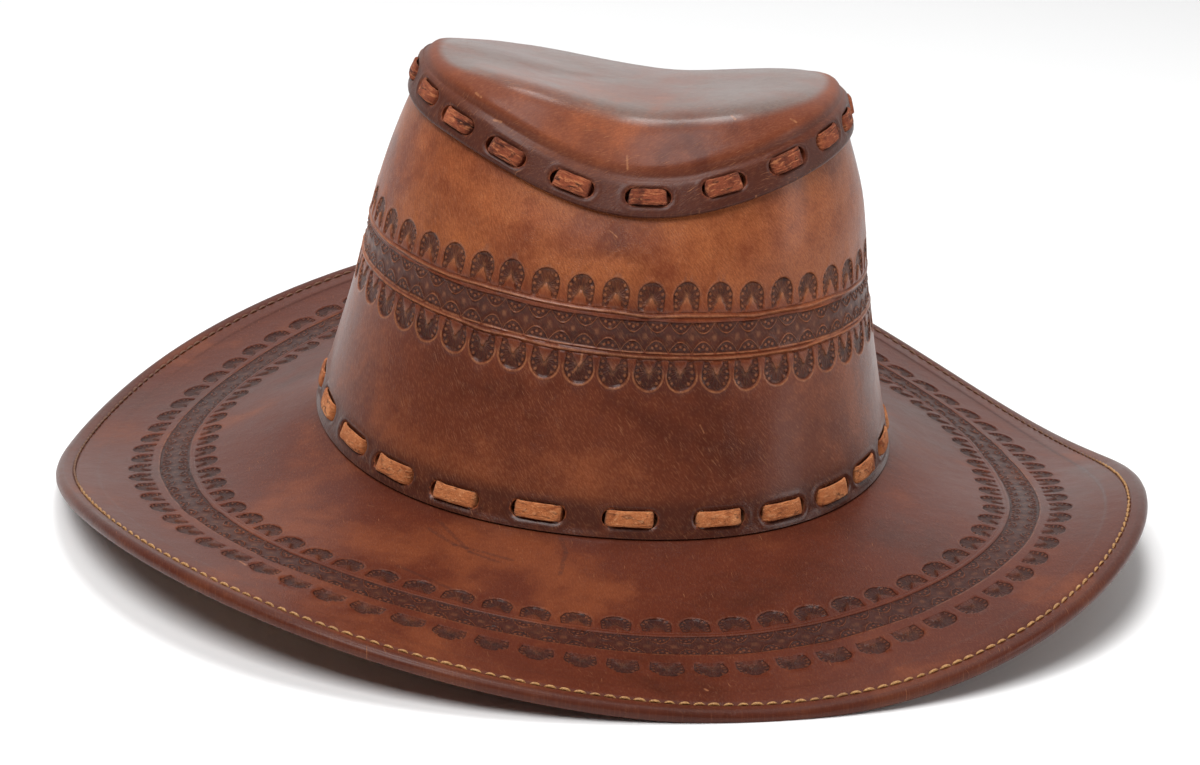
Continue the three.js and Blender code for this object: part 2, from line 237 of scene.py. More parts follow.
def brimAt(turns, out):
    foot = onLine(footLine, turns, wave("footRise", turns))
    ring = np.stack([wave("ringReach", turns) * np.sin(turns), -wave("ringReach", turns) * np.cos(turns),
                     wave("ringRise", turns)], -1)
    edge = np.stack([wave("edgeReach", turns) * np.sin(turns), -wave("edgeReach", turns) * np.cos(turns),
                     wave("edgeRise", turns)], -1)
    footShare = (out - ringPlace) * (out - 1) / ringPlace
    ringShare = out * (out - 1) / (ringPlace * (ringPlace - 1))
    edgeShare = out * (out - ringPlace) / (1 - ringPlace)
    return foot * footShare[..., None] + ring * ringShare[..., None] + edge * edgeShare[..., None]


def brimProfile(turns, steps=120):
    out = np.linspace(insideFoot, 1.0, steps + 1)
    points = np.stack([brimAt(turns, np.full_like(turns, share)) for share in out], 1)
    lengths = distances(points)
    columns = range(len(turns))
    zero = np.array([np.interp(0, out, lengths[c]) for c in columns])
    ring = np.array([np.interp(ringPlace, out, lengths[c]) for c in columns]) - zero
    lengths = lengths - zero[:, None]
    return points, lengths, {"ring": ring, "edge": lengths[:, -1]}


def distances(points):
    steps = np.linalg.norm(np.diff(points, axis=1), axis=-1)
    return np.concatenate([np.zeros((len(points), 1)), np.cumsum(steps, 1)], 1)


def placesAt(points, lengths, wanted):
    out = np.empty(wanted.shape + (3,))
    for column in range(wanted.shape[1]):
        for axis in range(3):
            out[:, column, axis] = np.interp(wanted[:, column], lengths[column], points[column, :, axis])
    return out


def gridNormals(points):
    # out of the leather, from the way around and the way along
    ring = points[:, :-1]
    side = np.roll(ring, -1, 1) - np.roll(ring, 1, 1)
    side = np.concatenate([side, side[:, :1]], 1)
    onward = np.gradient(points, axis=0)
    return unit(np.cross(side, onward))


def footing(points):
    # the brim lies flat where it rests
    points[..., 2] = np.maximum(points[..., 2], 0)
    return points


# Stamps pressed in the leather
# Places are millimetres from the middle of a stamp. The shader groups further down draw the same shapes.

arch = {"half": 4.55, "headFlat": 0.9, "legs": 4.6, "legTaper": 0.1, "edge": (0, 0.35), "tongueWide": 2.7,
        "tongueTip": 0.1, "tongueTall": 4.6, "tongueCurve": 0.8, "tongueEdge": (-0.15, 0.25),
        "beadLine": 0.9, "beadStep": 1.9, "beadSize": 0.68, "beadEnd": 3.9, "beadFade": (0, 0.5),
        "beadTurn": 3.7, "beadTall": 0.85, "jagDeep": 0.14, "jagCount": 8.0, "jagFade": (0, 0.6),
        "lipAt": 0.35, "lipWide": 0.4, "lipTall": 0.3, "lipFoot": (0, 0.6)}
eye = {"half": 3.82, "lid": 1.15, "lidRise": 3.6, "tall": 5.0, "deep": 0.9, "edge": (0, 0.3), "ridgeAt": 0.2,
       "ridgeWide": (0.12, 0.45), "ridgeTall": 0.75, "pearl": 3.0, "pearlSide": 1.35, "pearlBeside": 3.7,
       "pearlSize": 0.6, "pearlTall": 0.7}
fineLine = {"ridge": 0.38, "ridgeTall": 0.5, "ridgeEdge": (0.15, 0.6), "groove": 0.85, "grooveWide": 0.3,
            "grooveDeep": 0.55, "grooveEdge": (0.1, 0.4)}
pitchWander = 0.03  # share of a pitch
# what only the shaders draw of them: rays, shade, and where they are painted pale, as highlight and rubbing
archShow = {"rays": 20.0, "rayFoot": 1.0, "rayFade": (1.0, 1.6), "rayTall": 0.3, "rayBare": 0.12,
            "beadBare": 0.6, "bead": 0.5, "shaded": (-4.5, 0.5), "shade": (0.72, 1.0),
            "lipEdge": (0.1, 0.45), "lipRise": (-2.5, 1.0), "tipEdge": (-1.3, 0.3),
            "tipFrom": (-3.2, -0.8), "tipTo": (0.4, 1.8), "tip": 0.8}
eyeShow = {"ridgeEdge": (0.1, 0.34), "ridge": 0.6, "pearl": 0.6, "shaded": (0.0, 0.4), "shade": (0.85, 1.0),
           "rubAndSheenFrom": (0.72, 0.95), "rubAndSheenTo": (0.2, 1.5), "rubAndSheen": 0.55,
           "edgeAt": 0.2, "edgeWide": (0.1, 0.4), "edgeEnds": (0.75, 0.95), "edge": 0.85}


def archRelief(x, y):
    size = arch
    head = np.maximum(y, 0) * size["headFlat"]
    inward = size["half"] - np.hypot(x, head) + np.minimum(y, 0) * size["legTaper"]
    inside = smooth(np.minimum(inward, y + size["legs"]), *size["edge"])
    part = np.clip((size["tongueTip"] - y) / size["tongueTall"], 0, 1)
    tongueHalf = size["tongueWide"] * part ** size["tongueCurve"]
    jag = np.cos(size["jagCount"] * np.arctan2(y + size["legs"], np.abs(x) + nearMiddle))
    jag = size["jagDeep"] * jag * smooth(tongueHalf, *size["jagFade"])
    ground = inside * (1 - smooth(tongueHalf - np.abs(x) + jag, *size["tongueEdge"]))
    run = np.where(y < 0, y, size["beadTurn"] * np.arctan2(head, np.abs(x) + nearZero))
    beadAlong = (np.mod(run / size["beadStep"], 1) - 0.5) * size["beadStep"]
    bead = smooth(size["beadSize"] - np.hypot(inward - size["beadLine"], beadAlong), *size["edge"])
    bead = bead * smooth(size["beadEnd"] - run, *size["beadFade"]) * ground
    lip = bell(inward + size["lipAt"], size["lipWide"]) * smooth(y + size["legs"], *size["lipFoot"])
    return size["beadTall"] * bead + size["lipTall"] * lip - ground


def eyeRelief(x, y):
    size = eye
    tall = np.abs(y)
    lid = size["lid"] + size["lidRise"] * (x / size["half"]) ** 2
    within = smooth(size["tall"] - tall, *size["edge"])
    ridge = 1 - smooth(np.abs(tall - lid - size["ridgeAt"]), *size["ridgeWide"])
    beside = np.hypot(np.abs(x) - size["pearlSide"], tall - size["pearlBeside"])
    middle = np.hypot(x, tall - size["pearl"])
    pearl = smooth(size["pearlSize"] - np.minimum(middle, beside), *size["edge"])
    return within * (size["ridgeTall"] * ridge + size["pearlTall"] * pearl - size["deep"])


def lineRelief(v):
    size = fineLine
    grooves = bell(v - size["groove"], size["grooveWide"]) + bell(v + size["groove"], size["grooveWide"])
    return size["ridgeTall"] * bell(v, size["ridge"]) - size["grooveDeep"] * grooves


def stampRelief(row, counted, across):
    x = np.broadcast_to((np.mod(counted, 1) - 0.5) * row.get("wide", row["pitch"]), across.shape)
    return eyeRelief(x, across) if row["kind"] == "eye" else archRelief(x, across * row["head"])


def stampRun(lengthAround, row):
    # stamps counted along a row, each a little out of place as if struck by hand
    count = round(lengthAround[-1] / row["pitch"])
    counted = lengthAround / lengthAround[-1] * count + row["phase"]
    shift = np.random.default_rng(row["seed"]).normal(0, 1, (2, count))
    marks = np.arange(count) + 0.5
    nudge = [np.interp(np.mod(counted, count), marks, values, period=count) for values in shift]
    return counted + pitchWander * nudge[0], row["wander"] * nudge[1]


def roundLengths(points):
    return distances(points[None])[0]


# Meshes, and sewing rows of points into a closed skin

def newMesh(name, places, faces):
    mesh = bpy.data.meshes.new(name)
    mesh.from_pydata(((np.asarray(places) + planShift) * millimetre).tolist(), [], faces)
    return mesh


def paint(mesh, key, values, kind="FLOAT", field="value"):
    layer = mesh.attributes.new(key, kind, "POINT")
    layer.data.foreach_set(field, np.asarray(values, np.float32).ravel())


def giveMap(mesh, key, values):
    mesh.uv_layers.new(name=key).data.foreach_set("uv", values.astype(np.float32).ravel())


def rowsOf(points, maps, tints, every=1):
    return [
        {"points": points[r, ::every], "maps": {k: v[r, ::every] for k, v in maps.items()},
         "tints": {k: v[r, ::every] for k, v in tints.items()}}
        for r in range(len(points))
    ]


def ringFaces(low, high, lowCount, highCount):
    if lowCount == highCount:
        j = np.arange(lowCount)
        return np.stack([low + j, low + j + 1, high + j + 1, high + j], 1).tolist()
    faces = []
    step = max(lowCount, highCount) // min(lowCount, highCount)
    half = step // 2
    for j in range(min(lowCount, highCount)):
        dense, coarse = (low, high) if lowCount > highCount else (high, low)
        fan = [dense + j * step + k for k in range(step + 1)]
        near, far = coarse + j, coarse + j + 1
        tris = [(fan[k], fan[k + 1], near) for k in range(half)]
        tris.append((fan[half], far, near))
        tris += [(fan[k], fan[k + 1], far) for k in range(half, step)]
        faces += [t if lowCount > highCount else t[::-1] for t in tris]
    return faces


def sewSkin(name, rows, slots, materials, poles=()):
    counts = [len(row["points"]) - 1 for row in rows]
    starts = np.concatenate([[0], np.cumsum([c + 1 for c in counts])]).tolist()
    firsts = np.concatenate([[0], np.cumsum(counts)]).tolist()
    vertexOf = np.concatenate([firsts[r] + np.arange(c + 1) % c for r, c in enumerate(counts)])
    places = np.concatenate([row["points"][:-1] for row in rows])
    faces, faceSlots = [], []
    last = len(rows) - 1 if poles else len(rows)
    for r in range(last):
        after = (r + 1) % len(rows)
        new = ringFaces(starts[r], starts[after], counts[r], counts[after])
        faces += new
        faceSlots += [slots[r]] * len(new)
    maps = {k: np.concatenate([row["maps"][k] for row in rows]) for k in rows[0]["maps"]}
    tints = {k: np.concatenate([row["tints"][k][:-1] for row in rows]) for k in rows[0]["tints"]}
    for end, pole in enumerate(poles):
        row = 0 if end == 0 else len(rows) - 1
        ext = len(vertexOf)
        vertexOf = np.append(vertexOf, len(places))
        places = np.concatenate([places, pole[None]])
        ring = slice(starts[row], starts[row] + counts[row])
        maps = {k: np.concatenate([v, v[ring].mean(0)[None]]) for k, v in maps.items()}
        tints = {k: np.append(v, v[firsts[row]]) for k, v in tints.items()}
        fan = [(starts[row] + j, starts[row] + j + 1, ext) for j in range(counts[row])]
        faces += [f[::-1] for f in fan] if end == 0 else fan
        faceSlots += [slots[row]] * len(fan)
    corners = np.concatenate([np.asarray(f) for f in faces])
    sizes = [len(f) for f in faces]
    ends = np.cumsum([0] + sizes)
    vertices = vertexOf[corners]
    mesh = newMesh(name, places, [vertices[ends[i]:ends[i + 1]].tolist() for i in range(len(faces))])
    mesh.polygons.foreach_set("material_index", faceSlots)
    for key, values in maps.items():
        giveMap(mesh, key, values[corners])
    for key, values in tints.items():
        paint(mesh, key, values)
    for material in materials:
        mesh.materials.append(material)
    return addObject(name, mesh)


sharpAngle = 50.0
softAngle = 80.0


def finishMesh(piece, angle=sharpAngle):
    mesh = piece.data
    mesh.polygons.foreach_set("use_smooth", np.ones(len(mesh.polygons), bool))
    mesh.set_sharp_from_angle(angle=math.radians(angle))
    print(piece.name, len(mesh.polygons), "faces")


# Lacing places: the turn in degrees, and how far the lace runs from the leather's edge

footStitches = [(7.5, 6.5), (23, 6.3), (38, 5.9), (52, 5.4), (67, 5.2), (84, 6.2), (101.5, 6.5), (119, 6.1),
                (133, 5.4), (147, 5.3), (160, 6.1), (174.5, 6.7), (189, 6.5), (204, 6.2), (218.5, 5.9),
                (233, 5.6), (248, 6.0), (263.5, 6.3), (279.5, 6.5), (295, 6.1), (310, 5.8), (324.5, 6.2),
                (339, 6.4), (353, 6.6)]
rimStitches = [(12, 6.5), (31.5, 7.2), (47, 5.6), (62.5, 5.2), (80.5, 5.7), (100.5, 6.5), (120, 7.2),
               (138, 7.3), (155.5, 7.2), (173, 6.2), (191.5, 6.4), (210.5, 6.8), (231, 7.1), (251.5, 6.6),
               (272.5, 6.3), (293.5, 6.6), (314, 6.9), (334, 6.7), (352.5, 6.4)]
lacedTall = 105.0  # the wall that the foot stitches' heights are given for
holes = {"radius": 2.9, "sides": 20, "deep": 10.5, "tall": 3.5}
# dark: where the seat is darkened as painted shade under the lace
seat = {"radius": 3.1, "deep": 0.55, "lip": 0.22, "bowl": (-0.5, 0.9), "lipAt": 1.0, "lipWide": 0.6,
        "dark": (-0.6, 0.8), "near": 16.0}
nearby = {"turn": 0.002, "rise": 0.5, "stitchTurn": 0.01}
baseSlot = {"half": 6.1, "reach": 6.9}  # middle of the end hole, and where the lace turns down
capSlot = {"half": 4.5, "reach": 5.1}


def wallPlace(turns, height, outward):
    # a place on the crown wall, with its side, up and out directions; a height below 0 counts up from the rim
    turn, rise = nearby["turn"], nearby["rise"] * np.sign(height)
    grid = []
    for onward, upward in ((0, 0), (turn, 0), (-turn, 0), (0, rise)):
        tall = height + upward
        points, lengths, marks, lean = wallProfile(turns + onward)
        grid.append(placesAt(points, lengths, np.where(tall < 0, marks["rim"] - tall, tall)[None])[0])
    side = unit(grid[1] - grid[2])
    up = unit(grid[3] - grid[0])
    out = unit(np.cross(side, up))
    up = np.cross(out, side)
    return grid[0] + out * outward, side, up, out


def stitchFrames(stitches, onCap, shifts):
    # frames at places (millimetres) along the lacing line on either side of each stitch's middle
    turns = np.radians([turn for turn, rise in stitches])
    rises = np.array([rise for turn, rise in stitches])
    if onCap:
        heights, outward = -rises, leather + clearance
    else:
        heights, outward = rises * wallProfile(turns)[2]["rim"] / lacedTall, 0.0
    turn = nearby["stitchTurn"]
    ahead = wallPlace(turns + turn, heights, outward)[0]
    behind = wallPlace(turns - turn, heights, outward)[0]
    speed = np.linalg.norm(ahead - behind, axis=-1) / 2 / turn
    allTurns = (turns[:, None] + np.asarray(shifts)[None] / speed[:, None]).ravel()
    frames = wallPlace(allTurns, np.repeat(heights, len(shifts)), outward)
    return [part.reshape(len(stitches), len(shifts), 3) for part in frames]


def pressSeats(points, normals, rows, stitches, onCap, slot):
    # each stitch of lace lies in a pressed seat with a hole at either end
    centre, side, up, out = (part[:, 0] for part in stitchFrames(stitches, onCap, [0.0]))
    press = np.zeros(points.shape[:2])
    dark = np.zeros(points.shape[:2])
    for k in range(len(stitches)):
        offset = points[rows] - centre[k]
        x = np.abs((offset * side[k]).sum(-1))
        y = (offset * up[k]).sum(-1)
        near = np.linalg.norm(offset, axis=-1) < seat["near"]
        past = np.maximum(x - slot["half"], 0)
        inward = seat["radius"] - np.hypot(past, y)
        bowl = smooth(inward, *seat["bowl"]) * seat["deep"]
        lip = bell(inward + seat["lipAt"], seat["lipWide"]) * seat["lip"]
        press[rows] += np.where(near, lip - bowl, 0)
        # the seat is darkened round the lace, as painted shade
        dark[rows] = np.maximum(dark[rows], np.where(near, smooth(inward, *seat["dark"]), 0))
    return points + normals * press[..., None], dark


def holeTools(name, stitches, onCap, slot, material):
    frames = stitchFrames(stitches, onCap, [-slot["half"], slot["half"]])
    centre, side, up, out = (part.reshape(-1, 3) for part in frames)
    angles = np.arange(holes["sides"]) / holes["sides"] * fullTurn
    places, faces = [], []
    for k in range(len(centre)):
        ring = holes["radius"] * (np.cos(angles)[:, None] * side[k] + np.sin(angles)[:, None] * up[k])
        start = len(places)
        places += list(centre[k] + ring - out[k] * holes["deep"])
        places += list(centre[k] + ring + out[k] * holes["tall"])
        n = holes["sides"]
        faces += [(start + j, start + (j + 1) % n, start + n + (j + 1) % n, start + n + j) for j in range(n)]
        faces += [tuple(start + j for j in range(n))[::-1], tuple(start + n + j for j in range(n))]
    mesh = newMesh(name, places, faces)
    # the hole walls are marked for burnish and for the painted shade of the holes
    for key in ("burnish", "cut"):
        paint(mesh, key, np.ones(len(places)))
    mesh.materials.append(material)
    return addObject(name, mesh)


def punch(piece, tools):
    for tool in tools:
        cut = piece.modifiers.new("punch", "BOOLEAN")
        cut.operation = "DIFFERENCE"
        cut.object = tool
        cut.solver = "MANIFOLD"
    bakeModifiers(piece)
    for tool in tools:
        bpy.data.objects.remove(tool)


def bakeModifiers(piece):
    depsgraph = bpy.context.evaluated_depsgraph_get()
    made = bpy.data.meshes.new_from_object(piece.evaluated_get(depsgraph), depsgraph=depsgraph)
    made.name = piece.name
    piece.modifiers.clear()
    piece.data = made


# Shader nodes: a Wire is a value that runs between two nodes, and reckoning with it adds Math nodes

def reckoned(operation):
    # a Wire's operator, for where the Wire stands first and where it stands second
    return (lambda self, other: calc(operation, self, other),
            lambda self, other: calc(operation, other, self))


class Wire:
    def __init__(self, tree, socket):
        self.tree, self.socket = tree, socket

    __add__, __radd__ = reckoned("ADD")
    __sub__, __rsub__ = reckoned("SUBTRACT")
    __mul__, __rmul__ = reckoned("MULTIPLY")
    __truediv__, __rtruediv__ = reckoned("DIVIDE")

    def __abs__(self):
        return calc("ABSOLUTE", self)


def feed(socket, value):
    if isinstance(value, Wire):
        value.tree.links.new(value.socket, socket)
    else:
        socket.default_value = value


def treeOf(*values):
    return next(value.tree for value in values if isinstance(value, Wire))


def calc(operation, *values):
    tree = treeOf(*values)
    node = tree.nodes.new("ShaderNodeMath")
    node.operation = operation
    for socket, value in zip(node.inputs, values):
        feed(socket, value)
    return Wire(tree, node.outputs[0])


def step(value, limits, shown=(0.0, 1.0)):
    node = value.tree.nodes.new("ShaderNodeMapRange")
    node.interpolation_type = "SMOOTHSTEP"
    labels = ("Value", "From Min", "From Max", "To Min", "To Max")
    for label, item in zip(labels, (value, *limits, *shown)):
        feed(node.inputs[label], item)
    return Wire(value.tree, node.outputs["Result"])


def blend(share, first, second):
    tree = treeOf(share, first, second)
    node = tree.nodes.new("ShaderNodeMix")
    node.data_type = "RGBA"
    # the inputs of a colour mix: its factor and its two colours
    for number, item in ((0, share), (6, first), (7, second)):
        feed(node.inputs[number], item)
    return Wire(tree, node.outputs[2])


def noise(place, scale, detail=2.0, rough=0.5, warp=0.0):
    node = place.tree.nodes.new("ShaderNodeTexNoise")
    labels = ("Vector", "Scale", "Detail", "Roughness", "Distortion")
    for label, item in zip(labels, (place, scale, detail, rough, warp)):
        feed(node.inputs[label], item)
    return Wire(place.tree, node.outputs["Fac"])


def turned(place, lean, scale, kind="POINT"):
    node = place.tree.nodes.new("ShaderNodeMapping")
    node.vector_type = kind
    for label, item in (("Vector", place), ("Rotation", lean), ("Scale", scale)):
        feed(node.inputs[label], item)
    return Wire(place.tree, node.outputs[0])


def vectors(operation, first, second, output="Vector"):
    tree = treeOf(first, second)
    node = tree.nodes.new("ShaderNodeVectorMath")
    node.operation = operation
    feed(node.inputs[0], first)
    feed(node.inputs["Scale"] if operation == "SCALE" else node.inputs[1], second)
    return Wire(tree, node.outputs[output])


def splitPlace(place):
    node = place.tree.nodes.new("ShaderNodeSeparateXYZ")
    feed(node.inputs[0], place)
    return Wire(place.tree, node.outputs[0]), Wire(place.tree, node.outputs[1])


def hypot(x, y):
    return calc("SQRT", x * x + y * y)


def clamped(value):
    return calc("MINIMUM", calc("MAXIMUM", value, 0.0), 1.0)


groups = {}


def newGroup(name, inputs, outputs):
    tree = groups[name] = bpy.data.node_groups.new(name, "ShaderNodeTree")
    for label, value in inputs.items():
        kind = "Float" if isinstance(value, float) else ("Vector" if len(value) == 3 else "Color")
        socket = tree.interface.new_socket(label, in_out="INPUT", socket_type="NodeSocket" + kind)
        socket.default_value = value
    for label, kind in outputs.items():
        tree.interface.new_socket(label, in_out="OUTPUT", socket_type="NodeSocket" + kind)
    sockets = tree.nodes.new("NodeGroupInput").outputs
    given = {label: Wire(tree, sockets[label]) for label in inputs}
    return tree, given, tree.nodes.new("NodeGroupOutput").inputs


def useGroup(tree, group, **values):
    node = tree.nodes.new("ShaderNodeGroup")
    node.node_tree = groups[group]
    for label, value in values.items():
        feed(node.inputs[label.replace("_", " ")], value)
    return {socket.name: Wire(tree, socket) for socket in node.outputs}


mottle = {"broad": {"detail": 3.0, "rough": 0.55, "warp": 0.6},
          "fine": {"detail": 3.0, "rough": 0.6, "warp": 0.3}, "finer": 7.0,
          "broadShare": 0.75, "toMiddle": (0.32, 0.5), "toBright": (0.5, 0.68), "patches": (0.35, 0.65)}
hideGrain = {"crease": (0.0, 0.22), "uneven": {"scale": 240.0, "detail": 4.0, "rough": 0.6},
             "creased": (0.35, 0.75), "soft": {"scale": 1500.0}, "softTall": 0.5}
# of the hairs: how often they cross a tenth of a metre along and across, how they bend and where they gather
hair = {"strand": (1 / 20, 1 / 290, 1.0), "bend": {"scale": 9.0}, "bendWide": 9.0, "mostly": 0.725,
        "more": 0.14, "edge": 0.07,
        "gather": {"scale": 6.0, "detail": 3.0, "rough": 0.6}, "gathered": (0.42, 0.62),
        "nap": (1 / 55, 1 / 210, 1.0), "napNoise": {"detail": 3.0, "rough": 0.6, "warp": 0.3}}


def makeMottledDye():
    size = mottle
    tree, given, made = newGroup("mottledDye", {
        "Place": (0, 0, 0), "Patch size": 0.05,
        "Deep": (0, 0, 0, 1), "Middle": (0, 0, 0, 1), "Bright": (0, 0, 0, 1),
    }, {"Color": "Color", "Patches": "Float"})
    scale = 1 / given["Patch size"]
    broad = noise(given["Place"], scale, **size["broad"])
    fine = noise(given["Place"], scale * size["finer"], **size["fine"])
    patches = broad * size["broadShare"] + fine * (1 - size["broadShare"])
    lower = blend(step(patches, size["toMiddle"]), given["Deep"], given["Middle"])
    feed(made["Color"], blend(step(patches, size["toBright"]), lower, given["Bright"]))
    feed(made["Patches"], step(patches, size["patches"]))


def makeHideGrain():
    size = hideGrain
    tree, given, made = newGroup("hideGrain", {"Place": (0, 0, 0), "Grain size": 0.0009},
                                 {"Height": "Float", "Pores": "Float"})
    cells = tree.nodes.new("ShaderNodeTexVoronoi")
    cells.feature = "DISTANCE_TO_EDGE"
    feed(cells.inputs["Vector"], given["Place"])
    feed(cells.inputs["Scale"], 1 / given["Grain size"])
    creases = step(Wire(tree, cells.outputs["Distance"]), size["crease"])
    uneven = step(noise(given["Place"], **size["uneven"]), size["creased"])
    feed(made["Height"], creases * uneven + noise(given["Place"], **size["soft"]) * size["softTall"])
    feed(made["Pores"], 1 - creases)


def makeHairScratches():
    size = hair
    tree, given, made = newGroup("hairScratches", {"Place": (0, 0, 0), "Lean": (0, 0, 0), "Amount": 0.5},
                                 {"Mask": "Float", "Nap": "Float"})
    along = turned(given["Place"], given["Lean"], size["strand"], "TEXTURE")
    lifted = tree.nodes.new("ShaderNodeCombineXYZ")
    feed(lifted.inputs[1], noise(given["Place"], **size["bend"]) * size["bendWide"])
    streaks = noise(vectors("ADD", along, Wire(tree, lifted.outputs[0])), 1.0, 1.0)
    low = size["mostly"] - given["Amount"] * size["more"]
    gathered = step(noise(given["Place"], **size["gather"]), size["gathered"])
    feed(made["Mask"], step(streaks, (low, low + size["edge"])) * gathered)
    combed = turned(given["Place"], given["Lean"], size["nap"], "TEXTURE")
    feed(made["Nap"], noise(combed, 1.0, **size["napNoise"]))


def makeScratch():
    tree, given, made = newGroup("scratch", {
        "Place": (0, 0, 0), "Start": (0, 0, 0), "End": (0, 0, 0), "Width": 0.0005,
    }, {"Mask": "Float"})
    here = vectors("SUBTRACT", given["Place"], given["Start"])
    whole = vectors("SUBTRACT", given["End"], given["Start"])
    share = vectors("DOT_PRODUCT", here, whole, "Value") / vectors("DOT_PRODUCT", whole, whole, "Value")
    off = vectors("DISTANCE", here, vectors("SCALE", whole, clamped(share)), "Value")
    feed(made["Mask"], step(off / given["Width"], (0.35, 1.0), (1.0, 0.0)))


def makeArchRow():
    size, show = arch, archShow
    tree, given, made = newGroup("archRow", {
        "Place": (0, 0, 0), "Pitch": 10.8, "Head": 1.0, "Lip": 0.5, "Tongue": 1.0,
    }, {"Ground": "Float", "Relief": "Float", "Raised": "Float"})
    u, v = splitPlace(given["Place"])
    x = abs((calc("FRACT", u) - 0.5) * given["Pitch"])
    y = v * given["Head"]
    head = calc("MAXIMUM", y, 0.0) * size["headFlat"]
    foot = calc("MINIMUM", y, 0.0)
    inward = size["half"] - hypot(x, head) + foot * size["legTaper"]
    inside = step(calc("MINIMUM", inward, y + size["legs"]), size["edge"])
    part = clamped((size["tongueTip"] - y) / size["tongueTall"])
    tongueHalf = calc("POWER", part, size["tongueCurve"]) * size["tongueWide"]
    jag = calc("COSINE", calc("ARCTAN2", y + size["legs"], x + nearMiddle) * size["jagCount"])
    jag = jag * step(tongueHalf, size["jagFade"])
    tongueEdge = tongueHalf - x + jag * size["jagDeep"]
    ground = inside * (1 - step(tongueEdge, size["tongueEdge"]) * given["Tongue"])
    run = foot + calc("ARCTAN2", head, x + nearMiddle) * size["beadTurn"]
    beadAlong = (calc("FRACT", run / size["beadStep"]) - 0.5) * size["beadStep"]
    bead = step(size["beadSize"] - hypot(inward - size["beadLine"], beadAlong), size["edge"])
    bead = bead * step(size["beadEnd"] - run, size["beadFade"]) * ground
    # rays cut from the tongue's tip to the beads
    angle = calc("ARCTAN2", y + show["rayFoot"], x + nearMiddle)
    rays = (calc("COSINE", angle * show["rays"]) + 1) * 0.5
    rays = rays * step(inward, show["rayFade"]) * ground
    feed(made["Relief"], bead * size["beadTall"] + rays * show["rayTall"] - ground)
    bare = bead * show["beadBare"] + rays * show["rayBare"]
    feed(made["Ground"], ground * (1 - bare) * step(y, show["shaded"], show["shade"]))
    lip = step(abs(inward + size["lipAt"]), show["lipEdge"], (1.0, 0.0)) * step(y, show["lipRise"])
    lip = lip * given["Lip"]
    # the tip of the tongue is painted pale, as highlight and rubbing
    tip = step(tongueEdge, show["tipEdge"]) * step(y, show["tipFrom"])
    tip = tip * step(y, show["tipTo"], (show["tip"], 0.0))
    feed(made["Raised"], calc("MAXIMUM", calc("MAXIMUM", lip, tip * given["Tongue"]), bead * show["bead"]))


def makeEyeRow():
    size, show = eye, eyeShow
    tree, given, made = newGroup("eyeRow", {"Place": (0, 0, 0), "Cell": 7.0, "Lit side": 1.0},
                                 {"Ground": "Float", "Relief": "Float", "Raised": "Float"})
    u, v = splitPlace(given["Place"])
    x = abs((calc("FRACT", u) - 0.5) * given["Cell"])
    tall = abs(v)
    part = x / size["half"]
    lid = part * part * size["lidRise"] + size["lid"]
    within = step(size["tall"] - tall, size["edge"])
    ridge = step(abs(tall - lid - size["ridgeAt"]), show["ridgeEdge"], (1.0, 0.0))
    middle = hypot(x, tall - size["pearl"])
    beside = hypot(x - size["pearlSide"], tall - size["pearlBeside"])
    pearl = step(size["pearlSize"] - calc("MINIMUM", middle, beside), size["edge"])
    feed(made["Relief"], within * (ridge * size["ridgeTall"] + pearl * size["pearlTall"] - size["deep"]))
    bare = calc("MAXIMUM", ridge, pearl)
    feed(made["Ground"], within * (1 - bare) * step(tall - lid, show["shaded"], show["shade"]))
    # painted pale between two eyes, as sheen and rubbing, and as painted highlight along the band's lit edge
    rubAndSheen = step(part, show["rubAndSheenFrom"]) * step(tall, show["rubAndSheenTo"], (show["rubAndSheen"], 0.0))
    lit = calc("MAXIMUM", ridge * show["ridge"], pearl * show["pearl"])
    lit = calc("MAXIMUM", lit, rubAndSheen)
    litEdge = step(abs(tall - size["tall"] - show["edgeAt"]), show["edgeWide"], (show["edge"], 0.0))
    litEdge = litEdge * step(v * given["Lit side"], (0.0, 1.0)) * step(part, show["edgeEnds"], (1.0, 0.0))
    feed(made["Raised"], calc("MAXIMUM", within * lit, litEdge))


def makeFineLine():
    size = fineLine
    tree, given, made = newGroup("fineLine", {"Place": (0, 0, 0), "Line": 0.0},
                                 {"Relief": "Float", "Ridge": "Float"})
    off = abs(splitPlace(given["Place"])[1] - given["Line"])
    ridge = step(off, size["ridgeEdge"], (1.0, 0.0))
    groove = step(abs(off - size["groove"]), size["grooveEdge"], (1.0, 0.0))
    feed(made["Relief"], ridge * size["ridgeTall"] - groove * size["grooveDeep"])
    feed(made["Ridge"], ridge)


for makeGroup in (makeMottledDye, makeHideGrain, makeHairScratches, makeScratch, makeArchRow, makeEyeRow,
                  makeFineLine):
    makeGroup()
print("shader groups ready")


def attribute(tree, name):
    node = tree.nodes.new("ShaderNodeAttribute")
    node.attribute_name = name
    return Wire(tree, node.outputs["Fac"])


def uvPlace(tree, name):
    node = tree.nodes.new("ShaderNodeUVMap")
    node.uv_map = name
    return Wire(tree, node.outputs["UV"])


def objectPlace(tree):
    return Wire(tree, tree.nodes.new("ShaderNodeTexCoord").outputs["Object"])


def bump(height, distance, normal=None):
    node = height.tree.nodes.new("ShaderNodeBump")
    node.inputs["Distance"].default_value = distance
    feed(node.inputs["Height"], height)
    if normal is not None:
        feed(node.inputs["Normal"], normal)
    return Wire(height.tree, node.outputs["Normal"])


def newMaterial(name):
    material = bpy.data.materials.new(name)
    material.use_nodes = True
    return material, material.node_tree, material.node_tree.nodes["Principled BSDF"].inputs


